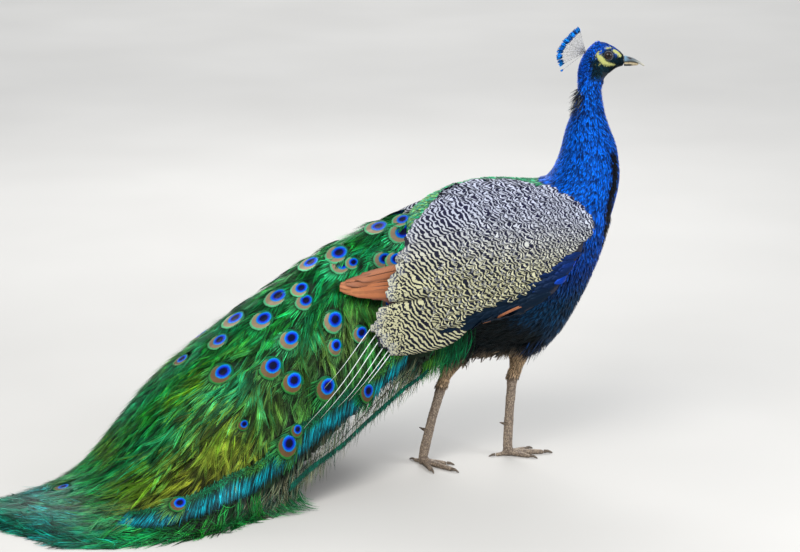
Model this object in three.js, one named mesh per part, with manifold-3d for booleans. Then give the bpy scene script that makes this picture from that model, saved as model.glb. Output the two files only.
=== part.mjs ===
// A life-size adult male Indian peafowl, standing in mid-stride with its train trailing on the floor.
//
// Millimetres. +X is the way the bird faces, +Y is its left side, +Z is up, and the floor is z = 0.
// Everything is first placed about the point midway between the feet. The whole bird is then moved so
// that the origin is the middle of the bottom of its box.
//
// The body is one closed loft. Every row of a loft's table is one cross-section: its upper or rear
// point, its lower or front point, both in the plane of symmetry, and half its width.
// Neighbouring solids keep a thin gap, made by cutting each with a slightly grown copy of the other.

import * as THREE from 'three';
import { mergeVertices } from 'three/addons/utils/BufferGeometryUtils.js';
import Module from 'manifold-3d';

const wasm = await Module();
wasm.setup();

// ---------------------------------------------------------------- driving dimensions

const GAP = 0.3; // between solids that touch in life
const ROW_GAP = 0.02; // the same, as a share of the step between two rows of a loft
const RIGHT = -1;
const LEFT = 1;

// Neck and trunk, from the joint under the head to the rump.
// Each row: upper/rear x, z, lower/front x, z, half width.
const BODY = [
  [197, 714, 247, 716, 20],
  [197, 700, 240, 700, 20],
  [195, 680, 243, 680, 22.5],
  [184, 647, 250, 647, 29],
  [175, 621, 259, 621, 35],
  [169, 593, 270, 593, 41],
  [161, 567, 274, 567, 47],
  [148, 546, 277, 540, 54],
  [127, 530, 274, 505, 63],
  [105, 529, 262, 452, 76],
  [80, 531, 240, 378, 86],
  [50, 532, 200, 289, 93],
  [20, 531, 154, 222, 96],
  [-10, 520, 100, 214, 96],
  [-60, 492, 20, 203, 92],
  [-110, 462, -60, 222, 78],
  [-150, 432, -112, 270, 54],
  [-183, 390, -155, 318, 32],
  [-203, 352, -198, 346, 6],
];
const BODY_SIDES = 20;
const BODY_LENGTHS = {
  neck_upper: [0, 3],
  neck_middle: [3, 6],
  neck_lower: [6, 8.5],
  breast: [8.5, 11],
  trunk: [11, 14],
  rump: [14, 18],
};

// Head, from the joint with the neck, turning forward to the base of the bill.
const HEAD = [
  [197, 714.5, 247, 716.5, 20],
  [197.5, 727, 252, 722, 21],
  [201, 742, 256, 726, 21.5],
  [208, 758, 260, 729, 21.5],
  [218, 771, 263, 732, 21],
  [231, 779, 267, 734, 20],
  [246, 779, 270, 735, 18.5],
  [260, 773, 273, 736, 15.5],
  [271, 765, 276, 736.5, 12],
  [279, 757, 279, 737, 8.5],
];
const HEAD_SIDES = 18;
const EYE_CENTRE = { x: 250, y: 12.5, z: 758 };
const EYE_RADIUS = 8.5;

// The bill's two halves, from the forehead to the tip.
const BILL_UPPER = [
  [279.6, 756, 279.6, 745, 7.6],
  [288, 754, 288, 745.4, 6.8],
  [297, 750.5, 298, 744.6, 5.4],
  [306, 745.5, 307, 741.2, 3.6],
  [312.5, 741.2, 312, 738.4, 2],
  [316, 737.6, 315, 736.8, 0.6],
];
const BILL_LOWER = [
  [279.6, 744.5, 279.6, 737.4, 6.4],
  [288, 744.9, 288, 737.4, 5.6],
  [297, 744, 297, 738, 4.2],
  [304.5, 741.6, 304.5, 739, 2.2],
];
const BILL_SIDES = 12;

// The crest: a fan of plumes that stands in the plane of symmetry, with a thick band of tips.
const CREST_ROOT = { x: 211, z: 762 };
const CREST_FROM_DEG = 104;
const CREST_TO_DEG = 208;
const CREST_PLUMES = 13;
const CREST_REACH = [49, 45, 45, 47, 51, 54, 54];
const CREST_TIP_LENGTH = 13;
const CREST_TIP_HALF = 4.5;
const CREST_SHAFT_HALF = 1;
const CREST_SCALLOP = 2.5;

// Folded wing, over the side of the trunk. Each row is a station along the bird:
// x, the top edge's y and z, the widest y, and the z that the side reaches down to.
const WING = [
  [226, 68, 472, 80, 385],
  [200, 72, 497, 94, 345],
  [170, 62, 518, 104, 320],
  [120, 30, 530, 112, 292],
  [33, 24, 535, 118, 275],
  [-25, 38, 522, 121, 240],
  [-60, 54, 499, 122, 222],
  [-113, 74, 446, 123, 205],
  [-171, 87, 425, 128, 215],
  [-240, 94, 400, 124, 225],
];
const WING_TUCK = 12; // how far the lower edge pulls in to the body
const WING_WALL_FRONT = 46;
const WING_WALL_REAR = 6;
// The left wing lies a little higher behind, lower in front and further back than the right one.
const WING_RAISE = { [RIGHT]: [0, 0], [LEFT]: [7, -10] };
const WING_SET_BACK = { [RIGHT]: 0, [LEFT]: 10 };
const WING_CLOSED = { [RIGHT]: 0, [LEFT]: 14 }; // how far the tips are drawn in to the body
// Side outlines of the wing's parts, x and z.
const SHOULDER_OUTLINE = [
  [230, 600], [-18, 600], [-52, 420], [-30, 345], [28, 316], [79, 337],
  [106, 361], [119, 390], [180, 418], [211, 439], [230, 450],
];
const TERTIAL_OUTLINE = [
  [-19, 600], [-112, 600], [-117, 440], [-121, 397],
  [-140, 380], [-151, 361], [-140, 326], [-158, 308], [-171, 282], [-164, 248],
  [-127, 231], [-72, 244], [-23, 276], [27, 315.5], [-31, 344], [-53, 420],
];
const COVERT_OUTLINE = [
  [211, 438], [180, 417], [120, 389.3], [107, 360.5], [79.5, 336.3], [28, 315],
  [-22, 275], [-60, 248], [-60, 240], [-23, 257], [28, 296], [106, 308], [157, 342], [206, 415],
];
const PRIMARY_OUTLINE = [
  [-121.6, 397.4], [-184, 377], [-214, 366], [-227, 356], [-214, 343], [-195, 337],
  [-140.6, 326.2], [-151.8, 361], [-140.7, 380.2],
];

// The train, a curved cover that drapes over both sides and spreads on the floor.
// Each row: ridge x, y, z, then the near (right) edge x, y, z, then the width of the far side.
const TRAIN = [
  [-106, 0, 470, -34, -84, 216, 84],
  [-150, -8, 451, -67, -94, 173, 92],
  [-203, -28, 431, -120, -99, 146, 102],
  [-262, -52, 402, -173, -134, 112, 126],
  [-335, -80, 360, -226, -205, 76, 165],
  [-405, -110, 317, -277, -256, 40, 200],
  [-475, -140, 271, -322, -306, 4, 225],
  [-545, -170, 219, -378, -345, -6, 228],
  [-606, -194, 152, -434, -404, -6, 200],
  [-655, -210, 91, -520, -452, -6, 160],
  [-700, -228, 46, -612, -474, -6, 112],
  [-752, -258, 27, -690, -458, -6, 85],
  [-812, -294, 18, -770, -402, -6, 60],
  [-872, -330, 11, -842, -356, -6, 32],
];
const TRAIN_HEADING = new THREE.Vector3(-0.928, -0.373, 0); // the way the train trails
const TRAIN_NEARWARD = new THREE.Vector3(0.373, -0.928, 0); // square to it, to the bird's right
const TRAIN_ROOF = 1.25; // 1 is a round arch, more is nearer to a pitched roof
const TRAIN_WALL = 11;
// Rows where the train is parted, and how many strips it has across each side there.
const TRAIN_LENGTHS = {
  base: [0, 3],
  upper: [3, 6],
  lower: [6, 9],
  end: [9, 13],
};
const TRAIN_STRIPS = 8;

// The tail: stiff feathers under the train that prop it up.
// Each row: middle x, y, z, half width.
const TAIL = [
  [-182, -6, 337, 24],
  [-250, -34, 305, 52],
  [-330, -68, 254, 78],
  [-410, -102, 200, 96],
  [-452, -119, 170, 92],
];
const TAIL_SAG = 16; // how far its sides droop below the middle
const TAIL_WALL = 4;

// Legs. Each row of a limb: x, y, z, half thickness along the stride, half thickness across.
const LEGS = {
  left: {
    thigh: [
      [66, 44, 290, 40, 26],
      [86, 42, 245, 32, 25],
      [97, 36, 212, 20, 17],
      [98, 32, 186, 13, 11.5],
      [92, 30, 164, 9, 8],
    ],
    tarsus: [
      [90, 30, 162, 8.6, 6.6],
      [87, 30, 148, 6.9, 5.4],
      [82, 30, 80, 6.5, 4.8],
      [80, 30, 30, 7.2, 5.6],
      [80, 30, 12, 8.5, 7.6],
      [80, 30, -3, 7.5, 7],
    ],
    foot: { x: 80, y: 30, heading: 8 },
    spur: { x: 81, y: 27, z: 62, heading: 192 },
  },
  right: {
    thigh: [
      [4, -44, 290, 40, 26],
      [-10, -46, 245, 32, 25],
      [-20, -44, 216, 21, 18],
      [-31, -40, 192, 13, 12],
      [-37, -38, 174, 9, 8],
    ],
    tarsus: [
      [-38, -38, 172, 8.6, 6.6],
      [-43, -36.5, 158, 6.8, 5.4],
      [-61, -29, 92, 6.4, 4.8],
      [-74, -24, 34, 7.2, 5.6],
      [-78, -22, 12, 8.5, 7.6],
      [-78, -22, -3, 7.5, 7],
    ],
    foot: { x: -78, y: -22, heading: -40 },
    spur: { x: -69, y: -26, z: 66, heading: 160 },
  },
};
const LIMB_SIDES = 12;
// Toes: turn from the foot's heading (to the bird's left), length to the claw, thickness, claw.
const TOES = {
  middle: { turn: 0, length: 68, half: 5.6, claw: 17 },
  inner: { turn: 30, length: 44, half: 5.1, claw: 15 },
  outer: { turn: -32, length: 48, half: 5.1, claw: 15 },
  hind: { turn: 172, length: 24, half: 4.2, claw: 13 },
};
const TOE_SIDES = 8;
const CLAW_SIDES = 6;
const SOLE_FLAT = 1.3; // how deep the floor trims a toe
const SPUR_LENGTH = 17;

// ---------------------------------------------------------------- geometry helpers

// One column of a table at a place between its rows, on a smooth curve through them.
function onCurve(before, from, to, after, share) {
  const slopeFrom = (to - before) / 2;
  const slopeTo = (after - from) / 2;
  const square = share * share;
  const cube = square * share;
  return (2 * cube - 3 * square + 1) * from + (cube - 2 * square + share) * slopeFrom
    + (3 * square - 2 * cube) * to + (cube - square) * slopeTo;
}

// A table's row at any place from 0 to its last row.
function rowAt(table, place) {
  const last = table.length - 1;
  const index = Math.min(Math.max(Math.floor(place), 0), last - 1);
  const pick = (k) => table[Math.min(Math.max(k, 0), last)];
  return table[index].map((_, column) => onCurve(
    pick(index - 1)[column],
    pick(index)[column],
    pick(index + 1)[column],
    pick(index + 2)[column],
    place - index,
  ));
}

// A closed mesh from points and faces, turned so that its faces point outwards.
function closedMesh(points, faces) {
  let volume = 0;
  for (const [a, b, c] of faces) {
    volume += points[a].dot(new THREE.Vector3().crossVectors(points[b], points[c]));
  }
  const turned = volume > 0 ? faces : faces.map(([a, b, c]) => [a, c, b]);
  const geometry = new THREE.BufferGeometry().setFromPoints(points);
  geometry.setIndex(turned.flat());
  return geometry;
}

// A solid skinned over a row of rings with equal numbers of points, closed by a fan at each end.
function loft(rings) {
  const sides = rings[0].length;
  const points = rings.flat();
  const faces = [];
  for (let r = 0; r + 1 < rings.length; r += 1) {
    for (let k = 0; k < sides; k += 1) {
      const a = r * sides + k;
      const b = r * sides + (k + 1) % sides;
      faces.push([a, b, b + sides], [a, b + sides, a + sides]);
    }
  }
  const caps = [[rings[0], 0, true], [rings.at(-1), (rings.length - 1) * sides, false]];
  for (const [ring, start, flip] of caps) {
    const middle = ring.reduce((sum, p) => sum.add(p), new THREE.Vector3()).divideScalar(sides);
    const hub = points.push(middle) - 1;
    for (let k = 0; k < sides; k += 1) {
      const a = start + k;
      const b = start + (k + 1) % sides;
      faces.push(flip ? [b, a, hub] : [a, b, hub]);
    }
  }
  return closedMesh(points, faces);
}

// One cross-section of the body, the head or the bill, an egg that is a little wider at the top.
function section([topX, topZ, lowX, lowZ, half], sides, grow, egg) {
  const top = new THREE.Vector3(topX, 0, topZ);
  const low = new THREE.Vector3(lowX, 0, lowZ);
  const centre = top.clone().add(low).divideScalar(2);
  const up = top.clone().sub(centre);
  up.setLength(up.length() + grow);
  return Array.from({ length: sides }, (_, k) => {
    const angle = (2 * Math.PI * k) / sides;
    const height = Math.cos(angle);
    const width = Math.sin(angle) * (half + grow) * (1 + egg * height);
    return centre.clone().addScaledVector(up, height).add(new THREE.Vector3(0, width, 0));
  });
}

// A loft of such sections between two places in a table, stopping short of the second by trim.
function bodyLoft(table, from, to, sides, { grow = 0, egg = 0.08, stepsPerRow = 2, trim = 0 } = {}) {
  const rings = [];
  for (let place = from; place < to; place += 1 / stepsPerRow) {
    rings.push(section(rowAt(table, place), sides, grow, egg));
  }
  rings.push(section(rowAt(table, to - trim), sides, grow, egg));
  return loft(rings);
}

// A limb: ellipses along a path, square to it.
function limbLoft(table, sides, grow = 0, stepsPerRow = 1) {
  const steps = (table.length - 1) * stepsPerRow;
  const rows = Array.from({ length: steps + 1 }, (_, s) => rowAt(table, s / stepsPerRow));
  const centres = rows.map(([x, y, z]) => new THREE.Vector3(x, y, z));
  const rings = rows.map(([, , , along, across], s) => {
    const ahead = centres[Math.min(s + 1, steps)].clone().sub(centres[Math.max(s - 1, 0)]).normalize();
    const sideways = new THREE.Vector3(0, 1, 0);
    if (Math.abs(ahead.z) < 0.7) sideways.crossVectors(new THREE.Vector3(0, 0, 1), ahead);
    sideways.addScaledVector(ahead, -sideways.dot(ahead)).normalize();
    const front = new THREE.Vector3().crossVectors(ahead, sideways);
    return Array.from({ length: sides }, (_, k) => {
      const angle = (2 * Math.PI * k) / sides;
      return centres[s].clone()
        .addScaledVector(front, Math.cos(angle) * (along + grow))
        .addScaledVector(sideways, Math.sin(angle) * (across + grow));
    });
  });
  return loft(rings);
}

// A curved plate: surface(u, v) is its outer side, and wall(u) its thickness towards inside(u).
function plate(surface, wall, inside, lengths, strips) {
  const outer = [];
  const inner = [];
  const near = 1e-3;
  for (let i = 0; i <= lengths; i += 1) {
    for (let j = 0; j <= strips; j += 1) {
      const u = i / lengths;
      const v = j / strips;
      const point = surface(u, v);
      const alongU = surface(Math.min(u + near, 1), v).sub(surface(Math.max(u - near, 0), v));
      const alongV = surface(u, Math.min(v + near, 1)).sub(surface(u, Math.max(v - near, 0)));
      const normal = alongU.cross(alongV).normalize();
      if (normal.dot(inside(u).sub(point)) < 0) normal.negate();
      outer.push(point);
      inner.push(point.clone().addScaledVector(normal, wall(u)));
    }
  }
  const columns = strips + 1;
  const count = outer.length;
  const faces = [];
  for (let i = 0; i < lengths; i += 1) {
    for (let j = 0; j < strips; j += 1) {
      const a = i * columns + j;
      const [b, c, d] = [a + 1, a + columns + 1, a + columns];
      faces.push([a, b, c], [a, c, d], [a + count, c + count, b + count], [a + count, d + count, c + count]);
    }
  }
  const border = [];
  for (let j = 0; j < strips; j += 1) border.push([j + 1, j]);
  for (let j = 0; j < strips; j += 1) border.push([lengths * columns + j, lengths * columns + j + 1]);
  for (let i = 0; i < lengths; i += 1) border.push([i * columns, (i + 1) * columns]);
  for (let i = 0; i < lengths; i += 1) border.push([(i + 1) * columns + strips, i * columns + strips]);
  for (const [a, b] of border) faces.push([a, b, b + count], [a, b + count, a + count]);
  return closedMesh([...outer, ...inner], faces);
}

// ---------------------------------------------------------------- joining and cutting

function solid(geometry) {
  const bare = geometry.clone();
  bare.deleteAttribute('normal');
  bare.deleteAttribute('uv');
  const merged = mergeVertices(bare, 1e-3);
  return new wasm.Manifold(new wasm.Mesh({
    numProp: 3,
    vertProperties: merged.attributes.position.array,
    triVerts: Uint32Array.from(merged.index.array),
  }));
}

// What is left of a piece after the tools are cut away, without loose slivers.
function cut(piece, ...tools) {
  const left = tools.reduce((rest, tool) => rest.subtract(tool), piece);
  const parts = left.decompose().sort((a, b) => b.volume() - a.volume());
  return parts[0].simplify(0.08);
}

function geometryOf(piece) {
  const mesh = piece.getMesh();
  const geometry = new THREE.BufferGeometry();
  geometry.setAttribute('position', new THREE.BufferAttribute(mesh.vertProperties, 3));
  geometry.setIndex(new THREE.BufferAttribute(mesh.triVerts, 1));
  return geometry;
}

const floorBlock = solid(new THREE.BoxGeometry(4000, 4000, 200).translate(0, 0, -100));

// ---------------------------------------------------------------- materials

const finish = (color, roughness, metalness = 0) => ({ color, roughness, metalness });
const FINISHES = {
  blue_plumage: finish(0x0a3fb0, 0.45, 0.4),
  dark_plumage: finish(0x062a3a, 0.5, 0.3),
  back_plumage: finish(0x1c6b3a, 0.45, 0.4),
  barred_plumage: finish(0xb9ad94, 0.75),
  teal_plumage: finish(0x0b4a78, 0.4, 0.5),
  brown_plumage: finish(0xa4562e, 0.7),
  thigh_plumage: finish(0xc2ae8f, 0.8),
  train_plumage: finish(0x1f7a35, 0.45, 0.4),
  tail_plumage: finish(0x5a4634, 0.8),
  horn: finish(0x8d8a80, 0.45),
  leg_skin: finish(0x8b7d6c, 0.7),
  claw_horn: finish(0x4a4038, 0.4),
  eye: finish(0x2a1408, 0.1),
};

const peafowl = new THREE.Group();

function add(name, geometry, finishName) {
  geometry.computeVertexNormals();
  const mesh = new THREE.Mesh(geometry, new THREE.MeshStandardMaterial(FINISHES[finishName]));
  mesh.name = name;
  peafowl.add(mesh);
}

// ---------------------------------------------------------------- neck, trunk and head

const lastRow = BODY.length - 1;
const grownBody = solid(bodyLoft(BODY, 0, lastRow, BODY_SIDES, { grow: GAP }));
const grownHead = solid(bodyLoft(HEAD, 0, HEAD.length - 1, HEAD_SIDES, { grow: GAP, stepsPerRow: 1 }));

for (const [name, [from, to]] of Object.entries(BODY_LENGTHS)) {
  const trim = to === lastRow ? 0 : ROW_GAP;
  const plumage = { trunk: 'dark_plumage', rump: 'back_plumage' }[name] ?? 'blue_plumage';
  add(name, bodyLoft(BODY, from, to, BODY_SIDES, { trim }), plumage);
}

function eyeball(side, grow = 0) {
  const ball = new THREE.SphereGeometry(EYE_RADIUS + grow, 12, 7);
  return ball.rotateX(Math.PI / 2).translate(EYE_CENTRE.x, side * EYE_CENTRE.y, EYE_CENTRE.z);
}

function makeHead() {
  const whole = solid(bodyLoft(HEAD, 0, HEAD.length - 1, HEAD_SIDES, { stepsPerRow: 1 }));
  const sockets = [RIGHT, LEFT].map((side) => solid(eyeball(side, GAP)));
  add('head', geometryOf(cut(whole, ...sockets)), 'blue_plumage');
  add('eye_right', eyeball(RIGHT), 'eye');
  add('eye_left', eyeball(LEFT), 'eye');
  add('bill_upper', bodyLoft(BILL_UPPER, 0, BILL_UPPER.length - 1, BILL_SIDES, { egg: -0.1 }), 'horn');
  add('bill_lower', bodyLoft(BILL_LOWER, 0, BILL_LOWER.length - 1, BILL_SIDES, { egg: 0.1 }), 'horn');
}

// The crest as a plate in the plane of symmetry: thin where the bare shafts are, thick at the tips.
function makeCrest() {
  const columns = CREST_PLUMES * 4;
  const reachTable = CREST_REACH.map((reach) => [reach]);
  const shares = [0, 0.35, 0.7, 1];
  const halves = [CREST_SHAFT_HALF, CREST_SHAFT_HALF, CREST_TIP_HALF, CREST_TIP_HALF * 0.6];
  const spots = [];
  for (let i = 0; i <= columns; i += 1) {
    const across = i / columns;
    const angle = THREE.MathUtils.degToRad(THREE.MathUtils.lerp(CREST_FROM_DEG, CREST_TO_DEG, across));
    const [reach] = rowAt(reachTable, across * (CREST_REACH.length - 1));
    const scallop = CREST_SCALLOP * Math.abs(Math.sin(Math.PI * CREST_PLUMES * across));
    const bandStart = reach - CREST_TIP_LENGTH;
    const radii = [4, bandStart - 4, bandStart + 2, reach - CREST_SCALLOP + scallop];
    for (const k of shares.keys()) {
      spots.push({ angle, radius: radii[k], half: halves[k] });
    }
  }
  const sidePoints = (side) => spots.map(({ angle, radius, half }) => new THREE.Vector3(
    CREST_ROOT.x + radius * Math.cos(angle),
    side * half,
    CREST_ROOT.z + radius * Math.sin(angle),
  ));
  const count = spots.length;
  const rows = shares.length;
  const faces = [];
  for (let i = 0; i < columns; i += 1) {
    for (let k = 0; k + 1 < rows; k += 1) {
      const a = i * rows + k;
      const [b, c, d] = [a + 1, a + rows + 1, a + rows];
      faces.push([a, b, c], [a, c, d], [a + count, c + count, b + count], [a + count, d + count, c + count]);
    }
    for (const [a, b] of [[(i + 1) * rows, i * rows], [i * rows + rows - 1, (i + 1) * rows + rows - 1]]) {
      faces.push([b, a, a + count], [b, a + count, b + count]);
    }
  }
  for (let k = 0; k + 1 < rows; k += 1) {
    faces.push([k, k + 1 + count, k + 1], [k, k + count, k + 1 + count]);
    const a = columns * rows + k;
    faces.push([a, a + 1, a + 1 + count], [a, a + 1 + count, a + count]);
  }
  const fan = solid(closedMesh([...sidePoints(RIGHT), ...sidePoints(LEFT)], faces));
  add('crest', geometryOf(cut(fan, grownHead)), 'blue_plumage');
}

makeHead();
makeCrest();

// ---------------------------------------------------------------- wings

// The outer side of a folded wing: station runs along the bird, down from the top edge to the bottom.
function wingSurface(side, station, down) {
  const [x, topY, topZ, wideY, lowZ] = rowAt(WING, station * (WING.length - 1));
  const angle = (down * Math.PI) / 2;
  const y = topY + (wideY - topY) * Math.sin(angle) - WING_TUCK * down ** 3;
  const forward = THREE.MathUtils.smoothstep(x, -110, 40);
  const raise = THREE.MathUtils.lerp(...WING_RAISE[side], forward);
  const z = topZ - (topZ - lowZ) * (1 - Math.cos(angle)) + raise * (1 - down);
  const outward = y - WING_CLOSED[side] * (1 - forward) * down;
  return new THREE.Vector3(x - WING_SET_BACK[side], side * outward, z);
}

// A prism through the whole wing, with the side outline given.
function outlinePrism(side, outline) {
  const shape = new THREE.Shape(outline.map(([x, z]) => new THREE.Vector2(x, z)));
  const depth = 220;
  const prism = new THREE.ExtrudeGeometry(shape, { depth, bevelEnabled: false });
  return prism.rotateX(Math.PI / 2).translate(-WING_SET_BACK[side], side === LEFT ? depth : 0, 0);
}

function makeWing(side, sideName) {
  const wall = (u) => THREE.MathUtils.lerp(
    WING_WALL_FRONT,
    WING_WALL_REAR,
    THREE.MathUtils.smoothstep(u, 0.35, 0.62),
  );
  const inside = () => new THREE.Vector3(0, 0, 380);
  const whole = solid(plate((u, v) => wingSurface(side, u, v), wall, inside, 17, 7));
  const fitted = cut(whole, grownBody);
  const parts = {
    shoulder: [SHOULDER_OUTLINE, 'barred_plumage'],
    tertials: [TERTIAL_OUTLINE, 'barred_plumage'],
    coverts: [COVERT_OUTLINE, 'teal_plumage'],
    primaries: [PRIMARY_OUTLINE, 'brown_plumage'],
  };
  for (const [part, [outline, plumage]] of Object.entries(parts)) {
    const piece = cut(fitted.intersect(solid(outlinePrism(side, outline))));
    add(`wing_${sideName}_${part}`, geometryOf(piece), plumage);
  }
}

makeWing(RIGHT, 'right');
makeWing(LEFT, 'left');

// ---------------------------------------------------------------- legs and feet

function toePath({ x, y, heading }, { turn, length, half }) {
  const angle = THREE.MathUtils.degToRad(heading + turn);
  const at = (distance, height, thick) => [
    x + distance * Math.cos(angle),
    y + distance * Math.sin(angle),
    height,
    thick,
    thick,
  ];
  const rest = half - SOLE_FLAT;
  const tip = half * 0.78;
  return [
    at(3, rest + 3, half),
    at(length * 0.3, rest + 1.2, half),
    at(length * 0.62, rest + 0.4, half * 0.94),
    at(length, tip - SOLE_FLAT + 0.2, tip),
  ];
}

function clawPath({ x, y, heading }, { turn, length, half, claw }) {
  const angle = THREE.MathUtils.degToRad(heading + turn);
  const at = (distance, height, thick) => [
    x + distance * Math.cos(angle),
    y + distance * Math.sin(angle),
    height,
    thick,
    thick * 0.8,
  ];
  const root = half * 0.62;
  return [
    at(length + 3 * GAP, root + 0.8, root),
    at(length + claw * 0.45, root + 0.9, root * 0.75),
    at(length + claw * 0.85, root * 0.6, root * 0.42),
    at(length + claw, 0.7, 0.5),
  ];
}

function makeLeg(name, { thigh, tarsus, foot, spur }) {
  const grownThigh = solid(limbLoft(thigh, LIMB_SIDES, GAP));
  add(`thigh_${name}`, geometryOf(cut(solid(limbLoft(thigh, LIMB_SIDES)), grownBody)), 'thigh_plumage');
  const shank = cut(solid(limbLoft(tarsus, LIMB_SIDES)), grownThigh, floorBlock);
  add(`tarsus_${name}`, geometryOf(shank), 'leg_skin');

  const taken = [solid(limbLoft(tarsus, LIMB_SIDES, GAP)), floorBlock];
  for (const [toeName, toe] of Object.entries(TOES)) {
    const mirrored = { ...toe, turn: name === 'left' ? -toe.turn : toe.turn };
    const path = toePath(foot, mirrored);
    add(`toe_${name}_${toeName}`, geometryOf(cut(solid(limbLoft(path, TOE_SIDES)), ...taken)), 'leg_skin');
    taken.push(solid(limbLoft(path, TOE_SIDES, GAP)));
    const claw = cut(solid(limbLoft(clawPath(foot, mirrored), CLAW_SIDES)), floorBlock);
    add(`claw_${name}_${toeName}`, geometryOf(claw), 'claw_horn');
  }

  const angle = THREE.MathUtils.degToRad(spur.heading);
  const spurRow = (distance, rise, thick) => [
    spur.x + distance * Math.cos(angle),
    spur.y + distance * Math.sin(angle),
    spur.z + rise,
    thick,
    thick,
  ];
  const spurPath = [
    spurRow(0, 0, 4.2),
    spurRow(SPUR_LENGTH * 0.5, 0.5, 2.8),
    spurRow(SPUR_LENGTH, 3.5, 0.6),
  ];
  add(`spur_${name}`, geometryOf(cut(solid(limbLoft(spurPath, CLAW_SIDES)), taken[0])), 'claw_horn');
}

makeLeg('right', LEGS.right);
makeLeg('left', LEGS.left);

// ---------------------------------------------------------------- train and tail

// The train's outer side: place is a row of its table, across runs from -1, the far edge, over the
// ridge at 0, to 1, the near edge.
function trainSurface(place, across) {
  const [ridgeX, ridgeY, ridgeZ, nearX, nearY, nearZ, farWidth] = rowAt(TRAIN, place);
  const reach = new THREE.Vector3(nearX - ridgeX, nearY - ridgeY, 0);
  const sideways = across > 0 ? reach.dot(TRAIN_NEARWARD) : -farWidth;
  const onward = reach.dot(TRAIN_HEADING);
  const angle = (Math.abs(across) * Math.PI) / 2;
  const share = Math.sin(angle);
  return new THREE.Vector3(ridgeX, ridgeY, nearZ + (ridgeZ - nearZ) * Math.cos(angle) ** TRAIN_ROOF)
    .addScaledVector(TRAIN_NEARWARD, sideways * share)
    .addScaledVector(TRAIN_HEADING, onward * share * share);
}

const grownThighs = Object.values(LEGS).map(({ thigh }) => solid(limbLoft(thigh, LIMB_SIDES, GAP)));

function makeTrainPiece(name, [from, to], [farther, nearer]) {
  const place = (u) => THREE.MathUtils.lerp(from + ROW_GAP / 2, to - ROW_GAP / 2, u);
  const surface = (u, v) => trainSurface(place(u), THREE.MathUtils.lerp(farther, nearer, v));
  const inside = (u) => {
    const [x, y] = rowAt(TRAIN, place(u));
    return new THREE.Vector3(x, y, -400);
  };
  const strips = Math.round(TRAIN_STRIPS * (nearer - farther));
  const whole = solid(plate(surface, () => TRAIN_WALL, inside, (to - from) * 2, strips));
  add(`train_${name}`, geometryOf(cut(whole, grownBody, ...grownThighs, floorBlock)), 'train_plumage');
}

makeTrainPiece('base', TRAIN_LENGTHS.base, [-1, 1]);
for (const length of ['upper', 'lower']) {
  makeTrainPiece(`${length}_right`, TRAIN_LENGTHS[length], [0.001, 1]);
  makeTrainPiece(`${length}_left`, TRAIN_LENGTHS[length], [-1, -0.001]);
}
makeTrainPiece('end', TRAIN_LENGTHS.end, [-1, 1]);

function makeTail() {
  const surface = (u, v) => {
    const [x, y, z, half] = rowAt(TAIL, u * (TAIL.length - 1));
    const across = v * 2 - 1;
    return new THREE.Vector3(x, y, z - TAIL_SAG * across * across)
      .addScaledVector(TRAIN_NEARWARD, across * half);
  };
  const inside = (u) => {
    const [x, y] = rowAt(TAIL, u * (TAIL.length - 1));
    return new THREE.Vector3(x, y, -400);
  };
  const whole = solid(plate(surface, () => TAIL_WALL, inside, 5, 6));
  add('tail', geometryOf(cut(whole, grownBody)), 'tail_plumage');
}

makeTail();

// ---------------------------------------------------------------- the finished bird

const box = new THREE.Box3().setFromObject(peafowl);
const middle = box.getCenter(new THREE.Vector3());
peafowl.position.set(-middle.x, -middle.y, 0);

export default peafowl;
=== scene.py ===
import bmesh
import bpy
import numpy as np
from mathutils import Matrix, Vector
from mathutils.bvhtree import BVHTree


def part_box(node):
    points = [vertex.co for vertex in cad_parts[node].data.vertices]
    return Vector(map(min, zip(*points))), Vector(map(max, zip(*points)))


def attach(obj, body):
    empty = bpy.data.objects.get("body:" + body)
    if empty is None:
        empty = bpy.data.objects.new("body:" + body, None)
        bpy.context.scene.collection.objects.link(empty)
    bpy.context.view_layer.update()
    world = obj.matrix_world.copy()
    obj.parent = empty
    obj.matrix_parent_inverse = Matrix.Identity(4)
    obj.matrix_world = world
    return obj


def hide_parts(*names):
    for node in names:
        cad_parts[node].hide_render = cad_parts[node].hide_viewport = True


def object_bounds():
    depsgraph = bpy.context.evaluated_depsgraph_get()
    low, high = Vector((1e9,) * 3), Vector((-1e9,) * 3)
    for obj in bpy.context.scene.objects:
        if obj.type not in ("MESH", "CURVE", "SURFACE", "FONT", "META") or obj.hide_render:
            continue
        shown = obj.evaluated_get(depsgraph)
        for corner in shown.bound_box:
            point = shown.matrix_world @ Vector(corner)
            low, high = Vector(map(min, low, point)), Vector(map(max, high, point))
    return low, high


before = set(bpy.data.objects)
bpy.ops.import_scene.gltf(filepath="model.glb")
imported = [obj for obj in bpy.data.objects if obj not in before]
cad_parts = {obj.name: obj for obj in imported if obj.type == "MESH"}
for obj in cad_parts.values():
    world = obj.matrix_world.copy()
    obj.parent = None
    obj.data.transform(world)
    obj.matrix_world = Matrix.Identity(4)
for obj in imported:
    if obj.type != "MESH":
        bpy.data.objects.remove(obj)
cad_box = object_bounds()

MM = 0.001
BODY = "root"
RIGHT = -1  # the bird's right side, towards -Y
LEFT = 1
EYE_CENTRE = (250.0, 12.5, 758.0)  # of the left eye, from the midpoint of the feet
EYE_RADIUS = 8.5
rng = np.random.default_rng(7)

low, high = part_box("eye_left")
ORIGIN = np.array((low + high) / 2) - np.array(EYE_CENTRE) * MM


def place(points):
    """Millimetres from the midpoint of the feet, as metres in the scene."""
    return np.asarray(points, float) * MM + ORIGIN


def measure(points):
    """The other way: metres in the scene, as millimetres from the midpoint of the feet."""
    return (np.asarray(points, float) - ORIGIN) / MM


print("the feet stand about", ORIGIN.round(4), "and the box is", cad_box)

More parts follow.
